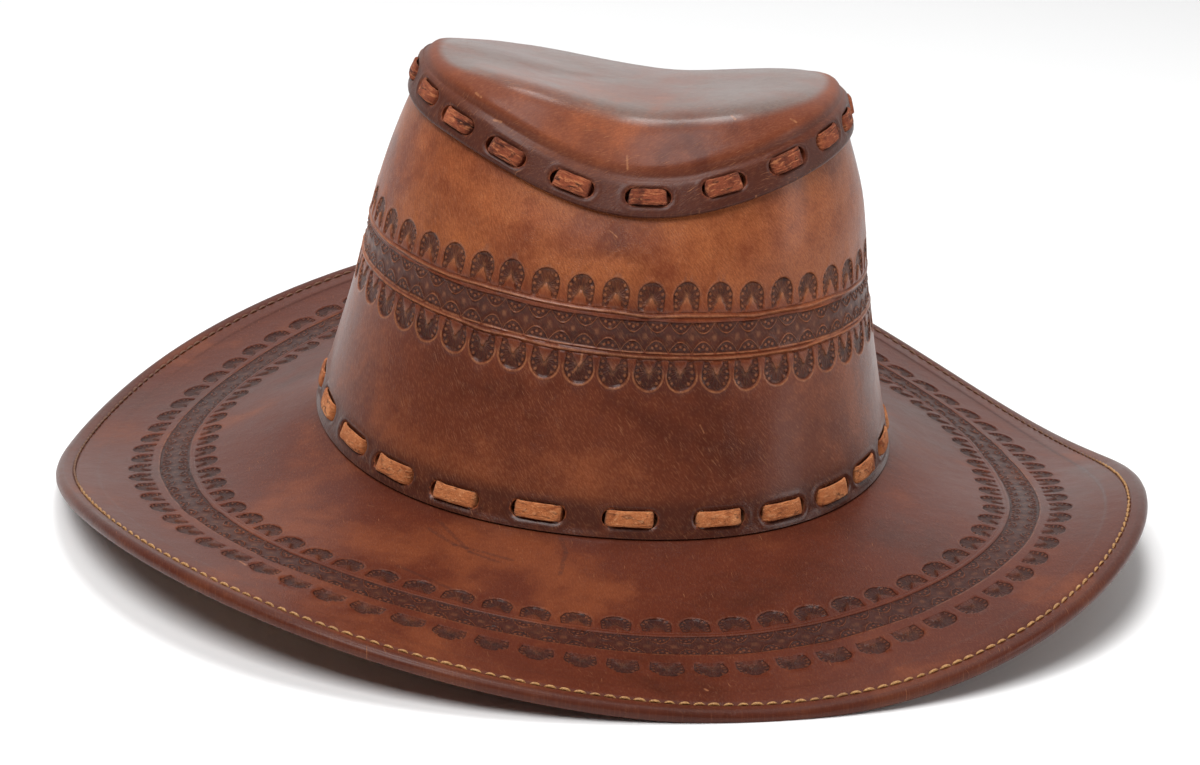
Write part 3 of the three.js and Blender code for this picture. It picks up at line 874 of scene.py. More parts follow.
# The leather's wear: patterns, the part of each that shows and how much
wear = {
    "darkeningPatches": {"scale": 130.0, "detail": 4.0, "rough": 0.65},
    "darkeningPatchesFrom": (0.2, 0.55), "darkeningPatchesShow": (0.75, 1.0),
    # patches of painted light
    "lightPatches": {"scale": 30.0, "detail": 5.0, "rough": 0.62}, "lightPatchesFrom": (0.36, 0.6),
    "rubbedAndLit": {"scale": 420.0, "detail": 3.0, "rough": 0.6}, "rubbedAndLitFrom": (0.3, 0.65),
    "groundFrom": (0.25, 0.6), "groundShow": (1.0, 0.72), "crossed": 0.6, "crossedShow": 0.7,
    "napDark": (0.42, 0.66), "napLight": (0.5, 0.34), "napLightShare": 0.5,
    "scratched": {"scale": 700.0, "rough": 0.6}, "scratchFrom": (0.3, 0.6), "scratchLeast": 0.3,
    "pores": 0.2, "patchRough": 0.1, "hairRough": 0.12, "burnishSmooth": 0.1, "stampRough": 0.14,
    "hairDeep": 0.8,
    "wave": {"scale": 60.0, "detail": 3.0},
}


def stampRows(tree, rows):
    # all rows of stamps together: their dark ground, their relief and what is painted pale on them, as
    # highlight and rubbing
    dark, relief, raised = 0.0, 0.0, 0.0
    for name, row in rows.items():
        spot, wide = uvPlace(tree, name), row.get("wide", row["pitch"])
        if row["kind"] == "eye":
            made = useGroup(tree, "eyeRow", Place=spot, Cell=wide, Lit_side=row["litSide"])
        else:
            made = useGroup(tree, "archRow", Place=spot, Pitch=wide, Head=row["head"], Lip=row["lip"],
                            Tongue=row["tongue"])
        dark = calc("MAXIMUM", dark, made["Ground"])
        raised = calc("MAXIMUM", raised, made["Raised"])
        relief = made["Relief"] + relief
        if "line" in row:
            drawn = useGroup(tree, "fineLine", Place=spot, Line=row["line"])
            relief = relief + drawn["Relief"] * row["lineDeep"]
            raised = calc("MAXIMUM", raised, drawn["Ridge"] * row["lineShow"])
    return dark, relief, raised


def grainLeather(name, look, rows=None):
    material, tree, shader = newMaterial(name)
    here, hide = objectPlace(tree), uvPlace(tree, "hide")
    dye = useGroup(tree, "mottledDye", Place=here, Patch_size=look["patch"], Deep=look["deep"],
                   Middle=look["middle"], Bright=look["bright"])
    grain = useGroup(tree, "hideGrain", Place=here, Grain_size=look["grain"])
    # burnish, darkening and painted shade from the painted attribute, in patches
    darkeningPatches = step(noise(here, **wear["darkeningPatches"]), wear["darkeningPatchesFrom"], wear["darkeningPatchesShow"])
    burnishedAndShaded = attribute(tree, "burnish") * darkeningPatches
    colour = blend(burnishedAndShaded, dye["Color"], look["burnishedAndShaded"])
    shine = dye["Patches"] * wear["patchRough"] + look["rough"] - burnishedAndShaded * wear["burnishSmooth"]
    # painted light in patches: a painted grey sheen on the cap's top and painted light on the upper wall
    if "bloom" in look:
        bloom = attribute(tree, "bloom")
        lightPatches = step(noise(here, **wear["lightPatches"]), wear["lightPatchesFrom"], look["bloomShow"])
        colour = blend(bloom * lightPatches, colour, look["bloom"])
        shine = shine - bloom * look["bloomSmooth"]
    if rows:
        dark, relief, raised = stampRows(tree, rows)
        rubbedAndLit = noise(here, **wear["rubbedAndLit"])
        dark = dark * step(rubbedAndLit, wear["groundFrom"], wear["groundShow"])
        colour = blend(dark, colour, look["stamped"])
        # the raised parts are painted pale with the scratch colour, as highlight and rubbing
        litAndRubbed = step(rubbedAndLit, wear["rubbedAndLitFrom"], (look["rubbedAndLit"] / 3, look["rubbedAndLit"]))
        colour = blend(raised * litAndRubbed, colour, look["scratched"])
        shine = shine + dark * wear["stampRough"]
    drawn = useGroup(tree, "hairScratches", Place=hide, Lean=look["hairLean"], Amount=look["hairs"])
    crossed = useGroup(tree, "hairScratches", Place=hide, Lean=look["crossLean"],
                       Amount=look["hairs"] * wear["crossed"])
    hairs = calc("MAXIMUM", drawn["Mask"], crossed["Mask"] * wear["crossedShow"])
    colour = blend(hairs * look["hairShow"], colour, look["scratched"])
    colour = blend(step(drawn["Nap"], wear["napDark"], (0.0, look["napShow"])), colour, look["deep"])
    paleShow = look["napShow"] * wear["napLightShare"]
    colour = blend(step(drawn["Nap"], wear["napLight"], (0.0, paleShow)), colour, look["scratched"])
    patchy = noise(here, **wear["scratched"])
    for number, (start, end, wide, tone) in enumerate(look["scratches"]):
        made = useGroup(tree, "scratch", Place=here, Width=wide)["Mask"]
        made.socket.node.name = f"scratch {number}"
        most = scratchShow[tone]
        shown = step(patchy, wear["scratchFrom"], (most * wear["scratchLeast"], most))
        colour = blend(made * shown, colour, look[tone])
    colour = blend(grain["Pores"] * wear["pores"], colour, look["deep"])
    # the walls of the punched holes are painted near black, as painted shade
    feed(shader["Base Color"], blend(attribute(tree, "cut"), colour, look["holeShade"]))
    feed(shader["Roughness"], shine + hairs * wear["hairRough"])
    if "coatLow" in look:
        feed(shader["Coat Weight"], step(bloom, (0.0, 1.0), (look["coatLow"], look["coat"])))
    else:
        shader["Coat Weight"].default_value = look["coat"]
    shader["Coat Roughness"].default_value = look["coatRough"]
    shader["Specular IOR Level"].default_value = look["specular"]
    normal = bump(grain["Height"] - hairs * wear["hairDeep"] - drawn["Nap"], look["grainDeep"])
    normal = bump(noise(here, **wear["wave"]), look["waveDeep"], normal)
    if rows:
        normal = bump(relief, look["stampDeep"], normal)
    feed(shader["Normal"], normal)
    return material


def placeScratches(piece, look):
    # finds on the finished piece what the camera sees at the scratches' pixels
    mesh = piece.data
    seen = BVHTree.FromPolygons([v.co for v in mesh.vertices], [p.vertices for p in mesh.polygons])
    right, up, back = (Vector(shot[way]) for way in ("right", "up", "back"))
    for number, (start, end, wide, tone) in enumerate(look["scratches"]):
        node = mesh.materials[0].node_tree.nodes[f"scratch {number}"]
        for label, (x, y) in (("Start", start), ("End", end)):
            way = right * (x - photo["centreX"]) - up * (y - photo["centreY"]) - back * photo["focalPixels"]
            node.inputs[label].default_value = seen.ray_cast(Vector(shot["place"]), way.normalized())[0]


# Suede and thread: patterns and the part of each that shows
suedeNap = {
    "nap": {"scale": 1400.0, "detail": 4.0, "rough": 0.7, "warp": 0.4}, "napFrom": (0.35, 0.7),
    "fibres": {"scale": 1.0, "detail": 3.0, "rough": 0.65, "warp": 0.5}, "tipsFrom": (0.5, 0.68),
    "cracks": {"scale": 0.45, "rough": 0.6, "warp": 1.2}, "cracksFrom": (0.56, 0.68),
    "plainFibres": {"scale": 2600.0, "detail": 3.0, "rough": 0.6, "warp": 0.8},
    "rough": 0.95, "specular": 0.2, "sheenRough": 0.6,
}
threadTwist = {"twist": {"scale": 2200.0, "rough": 0.6}, "twistFrom": (0.35, 0.65),
               "grubby": {"scale": 60.0, "rough": 0.6}, "grubbyFrom": (0.5, 0.75), "grubbyShow": (0.0, 0.5),
               "rough": 0.5, "deep": 0.0002}


def suede(name, look, stripMap=None):
    size = suedeNap
    material, tree, shader = newMaterial(name)
    here = objectPlace(tree)
    dye = useGroup(tree, "mottledDye", Place=here, Patch_size=look["patch"], Deep=look["deep"],
                   Middle=look["middle"], Bright=look["bright"])
    nap = noise(here, **size["nap"])
    colour = blend(step(nap, size["napFrom"], (0.0, look["napShow"])), dye["Color"], look["deep"])
    if stripMap:
        combed = turned(uvPlace(tree, stripMap), (0, 0, look["fibreLean"]), look["fibreScale"])
        fibres = noise(combed, **size["fibres"])
        cracks = step(noise(combed, **size["cracks"]), size["cracksFrom"], (0.0, look["crackShow"]))
        colour = blend(cracks, colour, look["crack"])
    else:
        fibres = noise(here, **size["plainFibres"])
    tips = step(fibres, size["tipsFrom"], (0.0, look["tipShow"]))
    feed(shader["Base Color"], blend(tips, colour, look["tips"]))
    shader["Roughness"].default_value = size["rough"]
    shader["Specular IOR Level"].default_value = size["specular"]
    shader["Sheen Weight"].default_value = look["sheen"]
    shader["Sheen Roughness"].default_value = size["sheenRough"]
    feed(shader["Normal"], bump(nap + fibres, look["napDeep"]))
    return material


def waxedThread(name, look):
    size = threadTwist
    material, tree, shader = newMaterial(name)
    here = objectPlace(tree)
    twist = noise(here, **size["twist"])
    colour = blend(step(twist, size["twistFrom"]), look["deep"], look["bright"])
    grubby = step(noise(here, **size["grubby"]), size["grubbyFrom"], size["grubbyShow"])
    colour = blend(grubby, colour, look["grubby"])
    feed(shader["Base Color"], blend(attribute(tree, "gold"), look["dyed"], colour))
    shader["Roughness"].default_value = size["rough"]
    feed(shader["Normal"], bump(twist, size["deep"]))
    return material


# Finishes

# Scratches and nicks where the photograph shows them: from one of its pixels to another, width, colour
scratches = {
    "wall": [((582, 354), (581, 362), 0.00055, "scratched"), ((581, 362), (573, 372), 0.00055, "scratched"),
             ((609, 230), (617, 237), 0.0003, "scratched"), ((700, 425), (704, 433), 0.0003, "scratched")],
    "cap": [((476, 93), (481, 97), 0.0006, "scratched"), ((494, 120), (501, 122), 0.0006, "scratched"),
            ((791, 119), (796, 122), 0.0006, "scratched"), ((732, 116), (735, 119), 0.0006, "scratched"),
            ((627, 156), (627.5, 169), 0.0005, "scratched")],
    "brim": [((705, 689), (707.5, 690.5), 0.0006, "scratched"), ((236, 560), (246, 565), 0.0006, "scratched"),
             ((428, 528), (455, 545), 0.0011, "burnishedAndShaded"), ((455, 545), (512, 560), 0.0011, "burnishedAndShaded"),
             ((438, 520), (470, 552), 0.0011, "burnishedAndShaded"), ((470, 552), (498, 562), 0.0011, "burnishedAndShaded"),
             ((560, 536), (566, 552), 0.0011, "burnishedAndShaded"), ((566, 552), (560, 574), 0.0011, "burnishedAndShaded"),
             ((398, 566), (452, 590), 0.0011, "burnishedAndShaded")],
}
scratchShow = {"scratched": 0.65, "burnishedAndShaded": 0.5}
# the darkest colours paint burnish and painted shade, and painted shade in the punched holes; the pale
# scratch colour also paints highlights on the stamps' raised parts
hideLook = {
    "deep": (0.095, 0.020, 0.009, 1), "middle": (0.190, 0.044, 0.017, 1), "bright": (0.330, 0.088, 0.030, 1),
    "burnishedAndShaded": (0.060, 0.018, 0.012, 1), "stamped": (0.014, 0.005, 0.005, 1),
    "scratched": (0.42, 0.17, 0.075, 1), "holeShade": (0.008, 0.004, 0.004, 1), "patch": 0.055,
    "grain": 0.0008, "grainDeep": 0.00005, "stampDeep": 0.00035, "waveDeep": 0.0003, "napShow": 0.34,
    "rough": 0.33, "coat": 0.16, "coatRough": 0.2, "specular": 0.18, "hairs": 0.5, "hairShow": 0.55,
    "rubbedAndLit": 0.75, "hairLean": (0, 0, -0.95), "crossLean": (0, 0, -1.25),
}
# the upper wall is painted lighter, as painted light
wallLook = dict(hideLook, bright=(0.370, 0.100, 0.034, 1), hairs=0.62, hairShow=0.42,
                bloom=(0.44, 0.135, 0.045, 1), bloomShow=(0.05, 0.72), bloomSmooth=0.0,
                scratches=scratches["wall"])
# the cap's flat top is painted a grey sheen, as painted reflection of the bright backdrop
capLook = dict(hideLook, middle=(0.188, 0.047, 0.019, 1), rough=0.47, coat=0.42, coatLow=0.08, hairs=0.55,
               napShow=0.22, bloom=(0.15, 0.115, 0.100, 1), bloomShow=(0.3, 0.88), bloomSmooth=0.14,
               scratches=scratches["cap"])
brimLook = dict(hideLook, deep=(0.062, 0.012, 0.005, 1), middle=(0.100, 0.0185, 0.0072, 1),
                bright=(0.188, 0.045, 0.015, 1), patch=0.07, napShow=0.16, rough=0.38, coat=0.09,
                specular=0.14, rubbedAndLit=0.28, hairs=0.25, hairLean=(0, 0, 0.3), crossLean=(0, 0, 1.4),
                scratches=scratches["brim"])
fleshLook = {"deep": (0.10, 0.045, 0.024, 1), "middle": (0.20, 0.10, 0.055, 1),
             "bright": (0.29, 0.155, 0.09, 1), "tips": (0.36, 0.21, 0.13, 1), "patch": 0.06, "sheen": 0.1,
             "napDeep": 0.0003, "napShow": 0.5, "tipShow": 0.8}
baseSuedeLook = {"deep": (0.26, 0.066, 0.022, 1), "middle": (0.54, 0.175, 0.060, 1),
                 "bright": (0.74, 0.30, 0.12, 1), "tips": (0.84, 0.42, 0.20, 1), "patch": 0.009,
                 "sheen": 0.04, "napDeep": 0.0004, "napShow": 0.22, "tipShow": 0.4,
                 "crack": (0.09, 0.026, 0.012, 1), "crackShow": 0.75, "fibreLean": 0.5,
                 "fibreScale": (4.5, 15.0, 1.0)}
capSuedeLook = {"deep": (0.10, 0.023, 0.012, 1), "middle": (0.26, 0.062, 0.027, 1),
                "bright": (0.42, 0.115, 0.046, 1), "tips": (0.66, 0.24, 0.10, 1), "patch": 0.009,
                "sheen": 0.03, "napDeep": 0.0005, "napShow": 0.3, "tipShow": 0.6,
                "crack": (0.025, 0.008, 0.006, 1), "crackShow": 0.85, "fibreLean": 0.08,
                "fibreScale": (2.8, 20.0, 1.0)}
threadLook = {"deep": (0.30, 0.135, 0.040, 1), "bright": (0.56, 0.30, 0.105, 1),
              "grubby": (0.18, 0.07, 0.03, 1), "dyed": (0.11, 0.040, 0.020, 1)}
fleshSide = suede("fleshSide", fleshLook)

# Crown wall: distances are along the leather, up from its foot

crownWall = {
    "columns": 840, "pressDeep": 0.55, "flare": 0.5, "flareTall": 3.0,
    "footRows": (0.8, 12.9, 0.75), "rowsBelow": 8, "bandRows": (-18.5, 18.6, 0.6), "bandTo": 18.7,
    "rowsAbove": 7, "rimRows": (-1, 1, 4, 8, 10.4), "tipRows": (0.12, 0.0, 0.12),
    "tipDepths": (0.35, 1.0, 1.65), "innerTip": 0.8, "innerRim": (3, -6),
    "innerShares": (0.85, 0.75, 0.66, 0.56, 0.46, 0.36, 0.26, 0.18, 0.12, 0.06, 0.02),
    "footTip": (0.1, 0.0, 0.16), "footDepths": (1.6, 0.8, 0.0), "footDrop": 0.12,
    "footFade": (9.0, 15.0), "footDarkening": 0.6, "edgeFade": (0.6, 2.0), "edgeBurnish": 0.3,
    # the lace seats are darkened as painted shade, and so is the wall just below the cap's edge
    "seatShade": 0.35, "upperFade": (-9, -2), "underCapShade": 0.12,
    "lowerFade": (-30, 4), "lowerDarkening": 0.36, "bloomFade": (-2, 14),
}
wallStamps = {
    "upperRow": {"kind": "arch", "pitch": 11.5, "phase": 0.828, "seed": 3, "wander": 0.25, "head": 1.0,
                 "lip": 0.2, "tongue": 1.0, "line": -5.9, "lineShow": 0.85, "lineDeep": 1.0},
    "lowerRow": {"kind": "arch", "pitch": 10.75, "phase": 0.932, "seed": 4, "wander": 0.25, "head": -1.0,
                 "lip": 0.85, "tongue": 1.0, "line": 5.4, "lineShow": 0.85, "lineDeep": 1.0},
    "middleRow": {"kind": "eye", "pitch": 7.65, "phase": 0.165, "seed": 5, "wander": 0.12, "litSide": -1.0},
}
hideUnit = 100.0  # the hide's map counts tenths of a metre
unstamped = 1000.0  # far from every row of stamps


def surfaceOf(points, lengths):
    # the profile's points and the way out of the leather, for each turn
    normals = gridNormals(points.transpose(1, 0, 2)).transpose(1, 0, 2)
    return points, normals, lengths


def layer(surface, wanted, depth):
    points, normals, lengths = surface
    here = placesAt(points, lengths, wanted)
    return here - unit(placesAt(normals, lengths, wanted)) * depth


def between(low, high, count):
    share = np.linspace(0, 1, count + 2)[1:-1]
    return low[None] + (high - low)[None] * share[:, None]


def upright(values, flat=1.0):
    # a row for each value, the same all round
    return np.array(values)[:, None] * flat


def mapOf(around, across):
    return np.stack([np.broadcast_to(around, across.shape), across], -1)


def wallRelief(along, marks, middle, length):
    relief = np.zeros_like(along)
    centres = {"upperRow": marks["bandHead"] - wallStamps["upperRow"]["line"],
               "lowerRow": marks["bandFoot"] - wallStamps["lowerRow"]["line"], "middleRow": middle}
    maps = {}
    for name, row in wallStamps.items():
        counted, shift = stampRun(length, row)
        across = along - centres[name] - shift
        maps[name] = mapOf(counted, across)
        relief += stampRelief(row, counted, across)
        if "line" in row:
            relief += lineRelief(across - row["line"]) * row["lineDeep"]
    return relief, maps


def makeWall():
    size = crownWall
    turns = np.linspace(0, fullTurn, size["columns"] + 1)
    points, lengths, marks, lean = wallProfile(turns)
    surface = surfaceOf(points, lengths)
    flat = np.ones_like(turns)
    middle = (marks["bandFoot"] + marks["bandHead"]) / 2
    footRows, bandRows = np.arange(*size["footRows"]), np.arange(*size["bandRows"])
    along = np.concatenate([
        upright(footRows, flat),
        between(size["footRows"][1] * flat, middle + bandRows[0], size["rowsBelow"]),
        middle[None] + upright(bandRows),
        between(middle + size["bandTo"], marks["rim"] + size["rimRows"][0], size["rowsAbove"]),
        marks["rim"][None] + upright(size["rimRows"]),
    ])
    normals = unit(placesAt(surface[1], lengths, along))
    length = roundLengths(layer(surface, middle[None], 0)[0])
    relief, maps = wallRelief(along, marks, middle, length)
    maps = {"hide": mapOf(length, along) / hideUnit, **maps}
    flare = size["flare"] * (1 - smooth(along, 0.0, size["flareTall"]))
    pressed = layer(surface, along, 0) + normals * (relief * size["pressDeep"] + flare)[..., None]
    outer, seatShadeMask = pressSeats(pressed, normals, slice(0, len(footRows)), footStitches, False, baseSlot)
    # the cut edge is burnished, and the wall is darker at its foot and towards the bottom of the stamps
    foot = (1 - smooth(along, *size["footFade"])) * size["footDarkening"]
    edge = (1 - smooth(along, *size["edgeFade"])) * size["edgeBurnish"]
    # painted shade just below the cap's edge
    upper = smooth(along - marks["rim"], *size["upperFade"]) * size["underCapShade"]
    lower = (1 - smooth(along - middle, *size["lowerFade"])) * size["lowerDarkening"]
    # the lace seats are darkened as painted shade
    burnish = np.clip(foot + edge + seatShadeMask * size["seatShade"] + upper + lower, 0, 1)
    # painted light: the wall is painted lighter between the stamps and the cap
    bloom = smooth(along - marks["bandHead"], *size["bloomFade"])
    rows = rowsOf(outer, maps, {"burnish": burnish, "cut": np.zeros_like(along), "bloom": bloom})
    slots = [0] * len(rows)

    def plainRows(wanted, depth, every, slot, burnishedAndShaded, lowest=None):
        made = layer(surface, wanted, depth)
        if lowest is not None:
            made[..., 2] = np.maximum(made[..., 2], lowest)
        run = {name: mapOf(spread[0, :, 0], wanted + unstamped) for name, spread in maps.items()}
        run["hide"] = mapOf(length, wanted) / hideUnit
        none = np.zeros(wanted.shape)
        rows.extend(rowsOf(made, run, {"burnish": none + burnishedAndShaded, "cut": none, "bloom": none}, every))
        slots.extend([slot] * len(made))

    top = marks["rim"] + wallTuck
    footLevel = layer(surface, 0 * flat[None], 0)[0, :, 2]
    plainRows(top[None] - upright(size["tipRows"]), upright(size["tipDepths"])[..., None], 1, 0, 1)
    inner = [top - size["innerTip"]] + [marks["rim"] + rise for rise in size["innerRim"]]
    inner += [marks["rim"] * share for share in size["innerShares"]]
    plainRows(np.array(inner), leather, 2, 1, 0)
    footDepths = upright(size["footDepths"])[..., None] - size["flare"]
    plainRows(upright(size["footTip"], flat), footDepths, 1, 0, 1, footLevel - size["footDrop"])
    skin = grainLeather("tooledWallLeather", wallLook, wallStamps)
    piece = sewSkin("crownWall", rows, slots, [skin, fleshSide])
    punch(piece, [holeTools("footPunch", footStitches, False, baseSlot, skin),
                  holeTools("rimPunch", rimStitches, True, capSlot, skin)])
    placeScratches(piece, wallLook)
    finishMesh(piece)
    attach(piece, "root")
    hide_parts("crown_side")


makeWall()
print("crown wall ready")

# Brim: distances are along the leather, out from the crown

brim = {
    "columns": 1200, "every": 3, "pressDeep": 0.5, "spreadAt": 98, "hemSlit": 0.4, "collarTall": 15.0,
    "stitchIn": 5.8, "grooveWide": 0.8, "grooveDeep": 0.45, "hemIn": 13.6, "hemStep": 0.3,
    "hemFrom": (-0.6, 0.6), "hemTo": (2, -2), "hemShows": (-0.1, 0.5), "hemLeast": 0.25, "hemTurn": 0.35,
    "collarRows": (14.9, 11.0, 6.0, 3.0, 1.2), "bendRows": (-1.6, -0.7), "footRows": (0.3, 2.0, 5.0),
    "rowsInside": 7, "bandFrom": -16.4, "bandRows": (-16.2, 16.9, 0.66), "bandTo": 17.0, "rowsOutside": 3,
    "beforeHem": 1.2, "hemRows": (-0.7, -0.25, 0.2, 0.7, 1.5, 3.2), "rollRows": (-3.3, -2.6), "rollSteps": 9,
    "stitchRows": (-2.4, -1.5, -0.9, -0.4, 0, 0.4, 0.9, 1.6),
    "underRows": (2.9, 3.8, 4.5, 5.1, 5.5, 5.8, 6.1, 6.6, 7.4, 9.0, 11.4, 13.6), "underGroove": 0.35,
    "backFrom": 13, "backTo": 1.0, "backRows": 11, "cornerRows": (-1.2, -2.6), "cornerDeep": 0.1,
    "insideRows": (0.8, 3.0, 6.0, 11.0, 14.8),
    # the darkening near the crown and along the hem's step is painted shade
    "nearWall": (1.0, 9.0), "nearWallShade": 0.35, "lineWide": 0.9, "lineBurnish": 0.6, "hemWide": 0.6,
    "hemShadow": 0.9, "rollFrom": -1.5, "overBurnish": 0.36, "rollBurnish": 0.6,
    "underBurnish": 0.25, "tipBurnish": 0.4,
}
# the hem's cut edge under the brim: in from the brim's edge, depth, whether its grain side shows, burnish
hemEdge = [(14.0, 4.0, True, 0.6), (14.15, 3.4, True, 0.6), (13.9, 2.7, True, 0.6), (10.0, 2.45, False, 0.0),
           (4.6, 2.4, False, 0.0), (4.2, 2.2, False, 0.0), (4.6, 2.0, False, 0.0), (10.0, 2.0, False, 0.0)]
brimStamps = {
    "outerRow": {"kind": "arch", "pitch": 12.09, "wide": 11.3, "phase": 0.743, "seed": 11, "wander": 0.3,
                 "place": 11.2, "spread": 2.3, "flat": 1.28, "head": 1.0, "lip": 0.1, "tongue": 0.45},
    "middleRow": {"kind": "eye", "pitch": 8.4, "phase": 0.68, "seed": 12, "wander": 0.12,
                  "place": 0.0, "spread": 0.0, "flat": 1.0, "litSide": 1.0, "line": -5.6, "lineShow": 0.1,
                  "lineDeep": 0.35},
    "innerRow": {"kind": "arch", "pitch": 13.23, "wide": 11.3, "phase": 0.746, "seed": 13, "wander": 0.3,
                 "place": -10.6, "spread": -0.7, "flat": 1.28, "head": -1.0, "lip": 0.25, "tongue": 0.45},
}
rollRadius = leather + brim["hemSlit"] / 2


def makeBrim():
    size = brim
    turns = np.linspace(0, fullTurn, size["columns"] + 1)
    points, lengths, marks = brimProfile(turns)
    surface = surfaceOf(points, lengths)
    surface = (surface[0], -surface[1], surface[2])  # the upper side of the brim is its outside
    ring, edge = marks["ring"], marks["edge"]
    flat = np.ones_like(turns)
    ringLength = roundLengths(layer(surface, ring[None], 0)[0])
    # the rows stand a little further apart over the wearer's left side
    spread = np.maximum(np.cos(turns - math.radians(size["spreadAt"])), 0) ** 2
    runs = {name: stampRun(ringLength, row) for name, row in brimStamps.items()}
    rows, slots = [], []
    hemShows = smooth(-np.sin(turns + size["hemTurn"]), *size["hemShows"])
    hemShows = size["hemLeast"] + (1 - size["hemLeast"]) * hemShows

    def acrossRow(name, wanted):
        row = brimStamps[name]
        return (wanted - ring - row["place"] - spread * row["spread"] - runs[name][1]) * row["flat"]

    def addRows(made, wanted, slot, burnishedAndShaded, stamped=False, every=size["every"]):
        run = {"hide": made[..., :2] / hideUnit}
        for name, (counted, shift) in runs.items():
            run[name] = mapOf(counted, acrossRow(name, wanted) if stamped else wanted + unstamped)
        shade = {"burnish": np.broadcast_to(burnishedAndShaded, wanted.shape), "cut": np.zeros(wanted.shape)}
        rows.extend(rowsOf(footing(made), run, shade, every))
        slots.extend([slot] * len(made))

    def pressedTop(wanted):
        relief = np.zeros(wanted.shape)
        for name, row in brimStamps.items():
            relief += stampRelief(row, runs[name][0], acrossRow(name, wanted))
            if "line" in row:
                relief += lineRelief(wanted - ring - row["line"]) * row["lineDeep"]
        groove = -bell(wanted - edge + size["stitchIn"], size["grooveWide"]) * size["grooveDeep"]
        # the turned-under hem shows through as a low step, most of all on the wearer's right
        hemFrom, hemTo = size["hemFrom"], size["hemTo"]
        up = smooth(wanted - edge, -size["hemIn"] + hemFrom[0], -size["hemIn"] + hemFrom[1])
        down = smooth(wanted - edge, -size["hemIn"] + hemTo[0], -size["stitchIn"] + hemTo[1])
        groove = groove + hemShows * size["hemStep"] * (up - down)
        normals = unit(placesAt(surface[1], lengths, wanted))
        return layer(surface, wanted, 0) + normals * (relief * size["pressDeep"] + groove)[..., None]

    # the collar's outside, the bend at its foot, and the brim's upper side out to the stitched edge
    wall = surfaceOf(*wallProfile(turns)[:2])
    gap = leather + clearance
    collar = upright(size["collarRows"], flat)
    addRows(layer(wall, collar, gap), collar, 1, 0.0)
    # the bend where the brim meets the crown is painted dark, as painted shade
    bend = upright(size["bendRows"], flat)
    addRows(layer(surface, bend, 0), bend, 0, 1.0)
    footRows = upright(size["footRows"], flat)
    inner = np.concatenate([footRows, between(footRows[-1], ring + size["bandFrom"], size["rowsInside"])])
    # the brim is darkened next to the crown's foot, as painted shade
    nearWall = 1 - smooth(inner, *size["nearWall"])
    addRows(pressedTop(inner), inner, 0, nearWall * size["nearWallShade"], True)
    dense = ring[None] + upright(np.arange(*size["bandRows"]))
    addRows(pressedTop(dense), dense, 0, 0.0, True, 1)
    hemStart = edge - size["hemIn"]
    outer = np.concatenate([between(ring + size["bandTo"], hemStart - size["beforeHem"], size["rowsOutside"]),
                            hemStart[None] + upright(size["hemRows"]),
                            edge[None] - size["stitchIn"] + upright(size["stitchRows"]),
                            edge[None] + upright(size["rollRows"])])
    inGroove = bell(outer - edge + size["stitchIn"], size["lineWide"]) * size["lineBurnish"]
    # a painted shadow line along the hem's step, strongest on the wearer's right
    hemShadowLine = bell(outer - edge + size["hemIn"], size["hemWide"]) * size["hemShadow"] * hemShows
    overRoll = smooth(outer - edge, -size["stitchIn"], size["rollFrom"]) * size["overBurnish"]
    addRows(pressedTop(outer), outer, 0, np.clip(overRoll + inGroove + hemShadowLine, 0, 1), True)
    # the thick roll of the edge, the hem under it with its cut edge, and the brim's underside
    rollAt = (edge - rollRadius)[None]
    centre = layer(surface, rollAt, rollRadius)
    rise = unit(placesAt(surface[1], lengths, rollAt))
    outward = unit(layer(surface, rollAt + 1, 0) - layer(surface, rollAt - 1, 0))
    angles = np.linspace(0, math.pi, size["rollSteps"])[:, None, None]
    roll = centre + rollRadius * (rise * np.cos(angles) + outward * np.sin(angles))
    addRows(roll, edge[None] + upright(np.linspace(0, 1, size["rollSteps"]), flat), 0, size["rollBurnish"])
    under = edge[None] - upright(size["underRows"])
    hemDepth = 2 * rollRadius - bell(under - edge + size["stitchIn"], size["lineWide"]) * size["underGroove"]
    addRows(layer(surface, under, hemDepth[..., None]), under, 0, size["underBurnish"])
    for inset, depth, grained, burnishedAndShaded in hemEdge:
        at = (edge - inset)[None]
        addRows(layer(surface, at, depth), at, 0 if grained else 1, burnishedAndShaded)
    back = between(edge - size["backFrom"], size["backTo"] * flat, size["backRows"])
    addRows(layer(surface, back, leather), back, 1, 0.0)
    corner = upright(size["cornerRows"], flat)
    addRows(layer(surface, corner, leather + size["cornerDeep"]), corner, 1, 0.0)
    inside = upright(size["insideRows"], flat)
    addRows(layer(wall, inside, gap + leather), inside, 1, 0.0)
    tip = size["collarTall"] * flat[None]
    addRows(layer(wall, tip, gap + leather / 2), tip, 1, size["tipBurnish"])
    skin = grainLeather("tooledBrimLeather", brimLook, brimStamps)
    piece = sewSkin("brimLeather", rows[::-1], slots[::-1][1:] + slots[:1], [skin, fleshSide])
    punch(piece, [holeTools("collarPunch", footStitches, False, baseSlot, skin)])
    placeScratches(piece, brimLook)
    finishMesh(piece)
    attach(piece, "root")
    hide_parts("brim")
    return surface, edge


brimSurface, brimEdge = makeBrim()
print("brim ready")

# Cap: shares run from its middle (0) to the head of the laced band (1)

